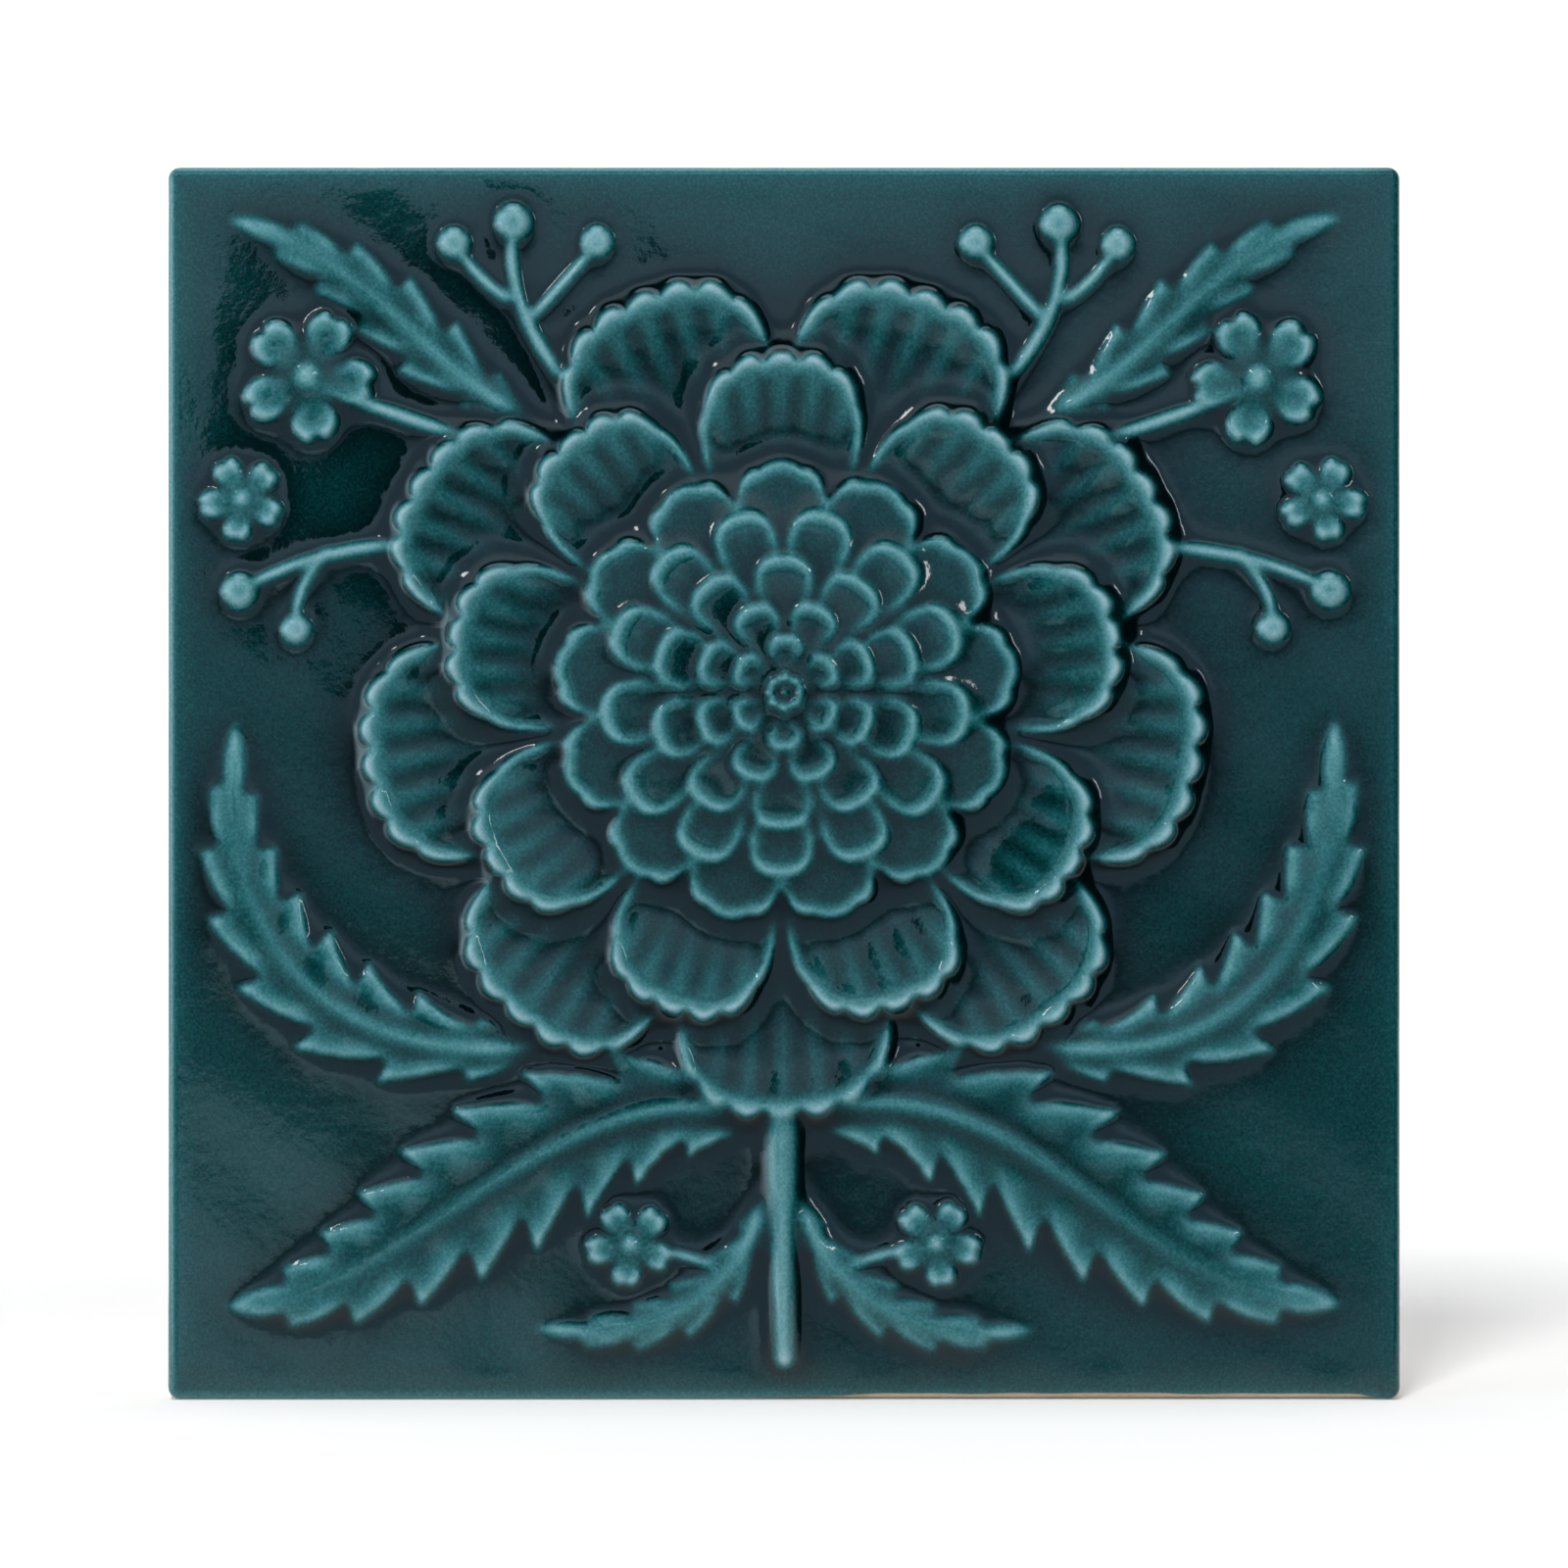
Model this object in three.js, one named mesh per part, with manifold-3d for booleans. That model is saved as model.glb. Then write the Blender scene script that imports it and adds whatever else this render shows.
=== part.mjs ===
// Relief-moulded wall tile, standing on its lower edge: a pressed clay body and the glaze on its face.
// Millimetres, +Z up. The glazed face looks along -Y and the keyed back along +Y.
// The origin is the middle of the lower edge, halfway through the body's thickness.

import * as THREE from "three";
import Module from "manifold-3d";
import { mergeVertices } from "three/addons/utils/BufferGeometryUtils.js";

// Body
const tileWidth = 152;
const tileHeight = 152;
const bodyThickness = 10.5; // from the flat ground of the face to the back of the keys
const arrisRadius = 1.5; // rounds the face into the sides, and the four corners
const arrisSteps = 4;

// Keys on the back, which the bedding mortar grips
const keyCount = 8;
const keyPitch = 17.5;
const keyWidth = 8;
const keyHeight = 1.6;
const keyDraft = 0.7; // how much wider a key is at its root, on each side
const keyInset = 7; // from a key's end to the tile's side
const keyRooting = 0.6; // how far a key's solid reaches into the body

// Glaze
const glazeOnFlat = 0.62;
const glazeOnRidges = 0.24;
const glazeAtLip = 0.1;
const glazeWrapSteps = 3; // arris steps that the glaze covers before the side was wiped clean
const poolBlend = 0.8; // softness of the change from film to pool
const poolSpread = 2.6; // how far the glaze ran off a ridge into the hollows beside it

// The middle of the bloom stands this far above the tile's middle
const bloomRise = 11;

// Whorls of the bloom, lowest first. root and reach are radii, turn is in petals, and spread is half a
// petal's angle. A petal lies at floor by its root and at lip by its margin, with a raised rim round it.
// crests and notch scallop the margin, flute is the depth of the folds that run out to it.
const outerPetals = {
  count: 9, turn: 0.5, root: 22, reach: 53, spread: 0.405,
  crests: 9, notch: 1.1, floor: 0.5, lip: 1.7, rim: 1.0, rimWidth: 1.5, flute: 0.45,
};
const innerPetals = {
  count: 9, turn: 0, root: 20, reach: 42.5, spread: 0.37,
  crests: 7, notch: 1.0, floor: 0.9, lip: 2.8, rim: 1.0, rimWidth: 1.4, flute: 0.4,
};

// The domed heart, covered by rings of scale-like florets that close towards a cluster of beads
const heartRadius = 29;
const heartHeight = 6.2;
const heartFoot = 1.1; // the dome would reach the ground this many heart radii out
const coreSink = 0.4; // the core lies this far under the florets' hollows
const floretSink = 1.6; // a floret's hollow lies this far below the dome
const floretRise = 1.0; // and climbs this much towards its tip
const floretRings = [
  { count: 13, turn: 0, root: 15, reach: 29.5, spread: 0.3, crests: 3, notch: 0.8, rim: 0.85, rimWidth: 1.2 },
  { count: 13, turn: 0.5, root: 11, reach: 23.5, spread: 0.27, crests: 1, notch: 0, rim: 0.8, rimWidth: 1.1 },
  { count: 10, turn: 0, root: 7.5, reach: 17.6, spread: 0.35, crests: 1, notch: 0, rim: 0.75, rimWidth: 1.0 },
  { count: 8, turn: 0.5, root: 4.4, reach: 12.2, spread: 0.43, crests: 1, notch: 0, rim: 0.7, rimWidth: 0.9 },
  { count: 6, turn: 0, root: 1.6, reach: 7.8, spread: 0.58, crests: 1, notch: 0, rim: 0.65, rimWidth: 0.8 },
];
const eyeRadius = 2.7;
const eyeHeight = 6.6;
const eyeRise = 1.0; // of its round top

// The shape that all petals share
const petalShape = {
  square: 3.2, // a higher power gives squarer shoulders
  round: 0.55, // a lower power gives a rounder tip
  rimAtRoot: 0.35, // share of the rim's height that is left at the root
  foldMiddle: 0.55, // the folds rise above the hollow and sink below it round this share
  climb: 1.2, // power by which the hollow climbs from root to margin
};

// Foliage of the right half, mirrored to the left. Points are [across, up] from the tile's middle.
// teeth counts the serrations of each margin, bite is their depth as a share of the half width.
const leaves = [
  { midrib: [[2, -41], [31, -32], [44, -66], [69, -64]], halfWidth: 10.5, teeth: 9, bite: 0.42, height: 1.8 },
  { midrib: [[30, -32], [54, -36], [71, -22], [67.5, 8]], halfWidth: 7.2, teeth: 8, bite: 0.42, height: 1.7 },
  { midrib: [[31, 45], [45, 51], [50, 64], [69, 69.5]], halfWidth: 5.2, teeth: 6, bite: 0.4, height: 1.5 },
  { midrib: [[2, -50], [4, -60], [14, -70.5], [31, -67]], halfWidth: 4, teeth: 6, bite: 0.4, height: 1.5 },
];
const midribHeight = 0.6;
const midribWidth = 0.8;

// The shape that all leaves share
const leafShape = {
  skew: 0.55, // how far the teeth lean towards the tip
  crest: 0.82, // share of a tooth's length at which it is highest
  stagger: 0.15, // the left margin's teeth lie this share of a tooth behind the right's
  tip: 0.35, // half width that is left at the tip
  dish: 0.18, // share of the height by which the blade sinks towards its midrib
  taper: 0.35, // share of the height that is lost by the tip
};

const stems = [
  { line: [[0, -40.5], [0, -55], [0, -71]], rootRadius: 2.4, tipRadius: 1.5, height: 2.2 },
  { line: [[34, 41], [47, 45], [58, 49]], rootRadius: 1.4, tipRadius: 1.0, height: 1.5 },
  { line: [[28, 51], [35, 60], [33.5, 68]], rootRadius: 1.2, tipRadius: 0.9, height: 1.4 },
  { line: [[32, 57], [28, 61], [23.5, 66]], rootRadius: 1.0, tipRadius: 0.8, height: 1.3 },
  { line: [[34.5, 60], [38, 62], [40.5, 66]], rootRadius: 1.0, tipRadius: 0.8, height: 1.3 },
  { line: [[46, 29], [57, 28.5], [66.5, 24]], rootRadius: 1.2, tipRadius: 0.9, height: 1.4 },
  { line: [[56, 28], [60, 24], [60, 19.5]], rootRadius: 1.0, tipRadius: 0.8, height: 1.3 },
  { line: [[6, -60.5], [12, -57.5], [18, -57]], rootRadius: 1.0, tipRadius: 0.8, height: 1.3 },
];
const berries = [
  { at: [33.5, 69], radius: 2.5, height: 2.2 },
  { at: [23.2, 66.6], radius: 2.2, height: 2.0 },
  { at: [40.8, 66.4], radius: 2.2, height: 2.0 },
  { at: [67, 23.6], radius: 2.5, height: 2.2 },
  { at: [60, 18.8], radius: 2.1, height: 2.0 },
];
const blossoms = [
  { at: [58.5, 50], reach: 9, turn: 0.5, height: 1.8 },
  { at: [66.4, 35], reach: 6, turn: 1.4, height: 1.6 },
  { at: [19, -56.5], reach: 6.2, turn: 0.2, height: 1.6 },
];
const blossomPetals = 5;
const blossomEye = 0.25; // share of a blossom's reach
const blossomEyeRise = 1.15; // share of its height

// The shape of a blossom's petals, in shares of its reach and height, with the rim and cleft in millimetres
const blossomShape = {
  waist: 0.42, round: 0.55, notch: 0.1, notchWidth: 0.22, root: 0.55, climb: 0.35,
  rim: 0.4, rimWidth: 0.9, cleft: 0.7, cleftWidth: 0.35,
};

const flankWidth = 1.1; // how far the side of a raised form slopes
const flankFoot = 0.1; // the slope starts this far outside the margin

// Mesh
const samplePitch = 0.75; // the relief is sampled this finely
const crestDepth = 1.2; // how far inside a margin its crest lies
const footDepth = 0.12; // how far outside it the form's foot lies
const lineGap = 0.5; // two corners on the relief's lines are never closer
const hiddenBelow = 0.05; // a place is on a form's surface if nothing rises more than this over it
const stemStride = 5;
const rounded = { berry: 7, eye: 8 }; // corners round a berry and round the bloom's eye
const blossomRays = [0, 0.22, 0.42, 0.5, 0.58, 0.78]; // shares of a petal at which its margin has corners
const extraCorners = 110; // on each half of the face, after the relief's own lines
const closeToCorner = 0.97; // no corner is added where another one has this weight
const onEdge = 1e-9; // a place this little outside a facet still lies in it
const thinnest = 1e-4; // facets are never turned into ones of less than this area
const flattest = 1e-3; // a place that spans less area than this with an edge lies on it

// Materials
const clayFinish = { color: 0xd9c3a5, roughness: 0.85, metalness: 0 };
const glazeFinish = { color: 0x254b50, roughness: 0.12, metalness: 0 };

const wasm = await Module();
wasm.setup();

const TURN = 2 * Math.PI;
const bell = (x) => Math.exp(-x * x);
const dome = (x) => Math.sqrt(Math.max(0, 1 - x * x));
const mix = THREE.MathUtils.lerp;
const ramp = (from, to, x) => THREE.MathUtils.smoothstep(x, from, to);
const flank = (depth) => ramp(-flankFoot, flankWidth, depth);
const heartDome = (r) => heartHeight * dome(r / (heartRadius * heartFoot));

// The radius of a petal's scalloped margin, at a share of its spread to either side of its middle
function marginRadius(whorl, off) {
  const across = Math.abs(off);
  const round = (1 - across ** petalShape.square) ** petalShape.round;
  const notch = whorl.notch * (1 - scallopWave(whorl, off) ** 0.7) * (1 - across ** 4);
  return whorl.root + (whorl.reach - whorl.root) * round - notch;
}

const scallopWave = (whorl, off) => Math.abs(Math.cos((Math.PI / 2) * whorl.crests * off));

// One petal or floret, in polar coordinates about the bloom's middle. Its whorl's bed gives the height of
// the hollow from the radius and from how far along the petal that is.
function petalHeight(whorl, index, r, angle) {
  if (r > whorl.reach) return 0;
  const aim = TURN / 4 + (TURN * (index + whorl.turn)) / whorl.count;
  const off = (THREE.MathUtils.euclideanModulo(angle - aim + TURN / 2, TURN) - TURN / 2) / whorl.spread;
  if (Math.abs(off) >= 1) return 0;
  const depth = Math.min(marginRadius(whorl, off) - r, r * whorl.spread * (1 - Math.abs(off)));
  if (depth < -flankFoot) return 0;
  const along = THREE.MathUtils.clamp((r - whorl.root) / (whorl.reach - whorl.root), 0, 1);
  const rim = whorl.rim * bell((depth - crestDepth) / whorl.rimWidth) * mix(petalShape.rimAtRoot, 1, along);
  const fold = (whorl.flute ?? 0) * (scallopWave(whorl, off) - petalShape.foldMiddle) * ramp(0.1, 0.9, along);
  return (whorl.bed(r, along) + rim + fold) * flank(depth);
}

function whorlHeight(whorl, r, angle) {
  let height = 0;
  for (let index = 0; index < whorl.count; index += 1) {
    height = Math.max(height, petalHeight(whorl, index, r, angle));
  }
  return height;
}

// sideShares and hollows say where a petal's sides and its floor get corners, as shares of its length. A
// hollow's first number is its place across the petal.
const petalWhorls = [outerPetals, innerPetals];
for (const whorl of petalWhorls) {
  whorl.bed = (_, along) => mix(whorl.floor, whorl.lip, along ** petalShape.climb);
  whorl.sideShares = [0.9, 0.7, 0.5, 0.3];
  whorl.hollows = [[0, 0.75], [-0.5, 0.68], [0.5, 0.68], [0, 0.4]];
}
for (const ring of floretRings) {
  ring.bed = (radius, along) => heartDome(radius) - floretSink + floretRise * along ** petalShape.climb;
  ring.sideShares = [0.7];
  ring.hollows = [[0, 0.72]];
}

function bloomHeight(x, z) {
  const r = Math.hypot(x, z - bloomRise);
  if (r > Math.max(outerPetals.reach, innerPetals.reach, heartRadius)) return 0;
  const angle = Math.atan2(z - bloomRise, x);
  const leafy = [...petalWhorls, ...floretRings].map((whorl) => whorlHeight(whorl, r, angle));
  const core = r < heartRadius - 2 ? heartDome(r) - floretSink - coreSink : 0;
  const eye = r < eyeRadius ? eyeHeight - eyeRise + eyeRise * dome(r / eyeRadius) : 0;
  return Math.max(...leafy, core, eye);
}

// The nearest place on a line of points: how far along it, how far off it, and on which side
function nearestOn(line, x, z) {
  let best = { along: 0, off: Infinity, side: 1 };
  let run = 0;
  for (let step = 1; step < line.points.length; step += 1) {
    const a = line.points[step - 1];
    const b = line.points[step];
    const dx = b.x - a.x;
    const dz = b.y - a.y;
    const length = Math.hypot(dx, dz);
    const share = THREE.MathUtils.clamp(((x - a.x) * dx + (z - a.y) * dz) / (length * length), 0, 1);
    const off = Math.hypot(x - a.x - share * dx, z - a.y - share * dz);
    if (off < best.off) {
      const side = Math.sign(dx * (z - a.y) - dz * (x - a.x));
      best = { along: (run + share * length) / line.length, off, side };
    }
    run += length;
  }
  return best;
}

const vector = ([x, z]) => new THREE.Vector2(x, z);
const lineOf = (curve) => ({ points: curve.getSpacedPoints(24), length: curve.getLength() });

// The place beside a line, at a share of its length and a distance to its left
function beside(line, along, off) {
  const run = along * (line.points.length - 1);
  const step = Math.min(Math.floor(run), line.points.length - 2);
  const a = line.points[step];
  const b = line.points[step + 1];
  const length = Math.hypot(b.x - a.x, b.y - a.y);
  const x = mix(a.x, b.x, run - step) - ((b.y - a.y) / length) * off;
  const z = mix(a.y, b.y, run - step) + ((b.x - a.x) / length) * off;
  return [x, z];
}

// A leaf is widest a little before its middle
const leafHalfWidth = (leaf, along) =>
  leaf.halfWidth * Math.sin(Math.PI * along ** 0.85) ** 0.8 + leafShape.tip;

function leafHeight(leaf, x, z) {
  const { along, off, side } = nearestOn(leaf.path, x, z);
  const halfWidth = leafHalfWidth(leaf, along);
  if (off > halfWidth) return 0;
  const leaning = along - (leafShape.skew * off) / leaf.path.length;
  const tooth = THREE.MathUtils.euclideanModulo(leaf.teeth * leaning + (side > 0 ? leafShape.stagger : 0), 1);
  const saw = tooth < leafShape.crest ? tooth / leafShape.crest : (1 - tooth) / (1 - leafShape.crest);
  const margin = halfWidth * (1 - leaf.bite * (1 - saw) * ramp(0.04, 0.2, along));
  if (off > margin) return 0;
  const dished = 1 - leafShape.dish * (1 - (off / halfWidth) ** 2);
  const blade = leaf.height * dished * ramp(-0.01, 0.12, along) * (1 - leafShape.taper * along);
  const rib = midribHeight * (1 - along) * bell(off / midribWidth);
  return (blade + rib) * flank(margin - off);
}

function stemHeight(stem, x, z) {
  const { along, off } = nearestOn(stem.path, x, z);
  return stem.height * dome(off / mix(stem.rootRadius, stem.tipRadius, along));
}

const berryHeight = (berry, x, z) =>
  berry.height * dome(Math.hypot(x - berry.at[0], z - berry.at[1]) / berry.radius);

function blossomMargin(blossom, angle) {
  const swing = (blossomPetals * (angle + blossom.turn)) / 2;
  const notch = blossomShape.notch * bell(Math.sin(swing) / blossomShape.notchWidth);
  const open = Math.abs(Math.cos(swing)) ** blossomShape.round;
  return blossom.reach * mix(blossomShape.waist, 1, open) * (1 - notch);
}

function blossomHeight(blossom, x, z) {
  const dx = x - blossom.at[0];
  const dz = z - blossom.at[1];
  const r = Math.hypot(dx, dz);
  if (r > blossom.reach) return 0;
  const angle = Math.atan2(dz, dx);
  const open = Math.abs(Math.cos((blossomPetals * (angle + blossom.turn)) / 2));
  const depth = blossomMargin(blossom, angle) - r;
  const eyeReach = blossomEye * blossom.reach;
  const eye = blossom.height * blossomEyeRise * dome(r / eyeReach);
  if (depth < 0) return eye;
  const { root, climb, rim, rimWidth, cleft, cleftWidth } = blossomShape;
  const crest = rim * bell((depth - rimWidth) / rimWidth);
  const petal = blossom.height * (root + (climb * r) / blossom.reach) + crest;
  const gap = cleft * bell(open / cleftWidth) * ramp(0.15, 0.5, r / blossom.reach);
  return Math.max((petal - gap) * flank(depth), eye);
}

for (const leaf of leaves) leaf.path = lineOf(new THREE.CubicBezierCurve(...leaf.midrib.map(vector)));
for (const stem of stems) stem.path = lineOf(new THREE.QuadraticBezierCurve(...stem.line.map(vector)));

// Height of the moulded relief over the flat ground, at a place measured from the tile's middle
function reliefHeight(x, z) {
  const side = Math.abs(x);
  return Math.max(
    bloomHeight(side, z),
    ...leaves.map((leaf) => leafHeight(leaf, side, z)),
    ...stems.map((stem) => stemHeight(stem, side, z)),
    ...berries.map((berry) => berryHeight(berry, side, z)),
    ...blossoms.map((blossom) => blossomHeight(blossom, side, z)),
  );
}

// A grid of values over the right half of the face, inside the arris
const faceHalfWidth = tileWidth / 2 - arrisRadius;
const faceHalfHeight = tileHeight / 2 - arrisRadius;
const columns = Math.round(faceHalfWidth / samplePitch);
const rows = Math.round((2 * faceHalfHeight) / samplePitch);
const gridX = (column) => (faceHalfWidth * column) / columns;
const gridZ = (row) => (2 * faceHalfHeight * row) / rows - faceHalfHeight;
const gridIndex = (column, row) => row * (columns + 1) + column;
const clampTo = (value, top) => Math.min(Math.max(value, 0), top);

function sampleGrid(value) {
  const grid = new Float64Array((columns + 1) * (rows + 1));
  for (let row = 0; row <= rows; row += 1) {
    for (let column = 0; column <= columns; column += 1) {
      grid[gridIndex(column, row)] = value(column, row);
    }
  }
  return grid;
}

// A running mean over the grid, which reads across the middle line as if mirrored there
function smoothGrid(grid, reach) {
  const span = Math.max(1, Math.round(reach / samplePitch));
  const pass = (source, stepColumn, stepRow) => sampleGrid((column, row) => {
    let sum = 0;
    for (let step = -span; step <= span; step += 1) {
      const near = clampTo(Math.abs(column + step * stepColumn), columns);
      sum += source[gridIndex(near, clampTo(row + step * stepRow, rows))];
    }
    return sum / (2 * span + 1);
  });
  return pass(pass(grid, 1, 0), 0, 1);
}

function readGrid(grid, x, z) {
  const column = clampTo((x / faceHalfWidth) * columns, columns - 1e-9);
  const row = clampTo(((z + faceHalfHeight) / (2 * faceHalfHeight)) * rows, rows - 1e-9);
  const [left, low] = [Math.floor(column), Math.floor(row)];
  const lower = mix(grid[gridIndex(left, low)], grid[gridIndex(left + 1, low)], column - left);
  const upper = mix(grid[gridIndex(left, low + 1)], grid[gridIndex(left + 1, low + 1)], column - left);
  return mix(lower, upper, row - low);
}

// The glaze lies as a film on the ridges and levels out in pools between them
const clayGrid = sampleGrid((column, row) => reliefHeight(gridX(column), gridZ(row)));
const poolGrid = smoothGrid(smoothGrid(clayGrid, poolSpread / 2), poolSpread / 2);
function glazeOver(clay, pool) {
  const level = pool + glazeOnFlat;
  const film = clay + glazeOnRidges;
  const share = THREE.MathUtils.clamp(0.5 + (level - film) / poolBlend, 0, 1);
  return mix(film, level, share) + (poolBlend / 2) * share * (1 - share);
}
const glazeGrid = clayGrid.map((clay, at) => glazeOver(clay, poolGrid[at]));

// Places on the relief's own lines, which become corners of its facets: each margin's foot and crest,
// the floor of each hollow, and the ridge of each rib and stem. Only what no higher form hides is kept.
class ReliefLines {
  constructor() {
    this.places = [];
  }

  add(x, z) {
    const snapped = Math.abs(x) < lineGap / 2 ? 0 : x;
    const inside = snapped >= 0 && x < faceHalfWidth - lineGap && Math.abs(z) < faceHalfHeight - lineGap;
    const clear = this.places.every((place) => Math.hypot(place[0] - snapped, place[1] - z) > lineGap);
    if (inside && clear) this.places.push([snapped, z]);
  }

  // A margin's foot goes in with its crest, if the crest shows
  margin(crest, foot, ownHeight) {
    if (reliefHeight(...crest) > ownHeight + hiddenBelow) return;
    this.add(...crest);
    this.add(...foot);
  }

  petal(whorl, index, stations) {
    const aim = TURN / 4 + (TURN * (index + whorl.turn)) / whorl.count;
    const bearing = (off) => aim + off * whorl.spread;
    const at = (off, r) => [r * Math.cos(bearing(off)), bloomRise + r * Math.sin(bearing(off))];
    const own = (off, r) => petalHeight(whorl, index, r, bearing(off));
    for (let station = -stations; station <= stations; station += 1) {
      const off = (station / stations) * (1 - 1e-6);
      const edge = marginRadius(whorl, off);
      const crestRadius = edge - crestDepth;
      const sideReach = crestRadius * whorl.spread * (1 - Math.abs(off));
      if (sideReach >= crestDepth) {
        this.margin(at(off, crestRadius), at(off, edge + footDepth), own(off, crestRadius));
      }
    }
    for (const share of whorl.sideShares) {
      const r = mix(whorl.root, whorl.reach, share);
      const inward = 1 - crestDepth / (r * whorl.spread);
      const outward = 1 + footDepth / (r * whorl.spread);
      for (const side of [-1, 1]) {
        if (marginRadius(whorl, side * inward) - r < crestDepth) continue;
        this.margin(at(side * inward, r), at(side * outward, r), own(side * inward, r));
      }
    }
    for (const [off, share] of whorl.hollows) {
      const r = mix(whorl.root, whorl.reach, share);
      if (reliefHeight(...at(off, r)) <= own(off, r) + hiddenBelow) this.add(...at(off, r));
    }
  }

  leaf(leaf) {
    const { path } = leaf;
    for (let tooth = 0; tooth < leaf.teeth; tooth += 1) {
      for (const side of [-1, 1]) {
        for (const [phase, share] of [[leafShape.crest, 1], [1, 1 - leaf.bite]]) {
          const first = (tooth + phase - (side > 0 ? leafShape.stagger : 0)) / leaf.teeth;
          let along = first;
          for (let round = 0; round < 3; round += 1) {
            along = Math.min(1, first + (leafShape.skew * share * leafHalfWidth(leaf, along)) / path.length);
          }
          const off = share * leafHalfWidth(leaf, along);
          const lean = (inward) => clampTo(along - (leafShape.skew * inward) / path.length, 1);
          const crest = beside(path, lean(flankWidth), side * Math.max(0, off - flankWidth));
          const foot = beside(path, lean(-footDepth), side * (off + footDepth));
          this.margin(crest, foot, leafHeight(leaf, ...crest));
        }
      }
      for (const off of leaf.halfWidth > 5 ? [0, -1.6 * midribWidth, 1.6 * midribWidth] : [0]) {
        const place = beside(path, (tooth + 0.5) / leaf.teeth, off);
        if (reliefHeight(...place) <= leafHeight(leaf, ...place) + hiddenBelow) this.add(...place);
      }
    }
    this.add(...beside(path, 1, 0));
  }

  stem(stem) {
    const steps = Math.max(2, Math.round(stem.path.length / stemStride));
    for (let step = 0; step <= steps; step += 1) {
      const radius = mix(stem.rootRadius, stem.tipRadius, step / steps);
      for (const side of [-1, 1]) {
        const crest = beside(stem.path, step / steps, side * 0.5 * radius);
        const foot = beside(stem.path, step / steps, side * 1.08 * radius);
        this.margin(crest, foot, stemHeight(stem, ...crest));
      }
    }
  }

  round(form, heightAt, radii, points) {
    const own = (place) => heightAt(form, ...place);
    if (reliefHeight(...form.at) <= own(form.at) + hiddenBelow) this.add(...form.at);
    for (let point = 0; point < points; point += 1) {
      const angle = (TURN * point) / points;
      const [crest, foot] = radii.map((radius) =>
        [form.at[0] + radius * Math.cos(angle), form.at[1] + radius * Math.sin(angle)]);
      this.margin(crest, foot, own(crest));
    }
  }

  blossom(blossom) {
    const petals = Array.from({ length: blossomPetals }, (_, petal) => petal);
    for (const bearing of petals.flatMap((petal) => blossomRays.map((ray) => petal + ray))) {
      const angle = (TURN * bearing) / blossomPetals - blossom.turn;
      const edge = blossomMargin(blossom, angle);
      const at = (r) => [blossom.at[0] + r * Math.cos(angle), blossom.at[1] + r * Math.sin(angle)];
      const crest = at(edge - crestDepth);
      this.margin(crest, at(edge + footDepth), blossomHeight(blossom, ...crest));
    }
    const eyeReach = blossomEye * blossom.reach;
    this.round(blossom, blossomHeight, [0.6 * eyeReach, eyeReach], blossomPetals);
  }
}

function reliefPlaces() {
  const lines = new ReliefLines();
  const bloomEye = { at: [0, bloomRise] };
  lines.round(bloomEye, (_, x, z) => bloomHeight(x, z), [0.7 * eyeRadius, eyeRadius], rounded.eye);
  for (const ring of [...floretRings].reverse()) {
    for (let index = 0; index < ring.count; index += 1) lines.petal(ring, index, Math.max(ring.crests, 3));
  }
  for (const whorl of [innerPetals, outerPetals]) {
    for (let index = 0; index < whorl.count; index += 1) lines.petal(whorl, index, whorl.crests);
  }
  for (const blossom of blossoms) lines.blossom(blossom);
  for (const berry of berries) {
    lines.round(berry, berryHeight, [0.75 * berry.radius, 1.05 * berry.radius], rounded.berry);
  }
  for (const leaf of leaves) lines.leaf(leaf);
  for (const stem of stems) lines.stem(stem);
  return lines.places;
}

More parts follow.
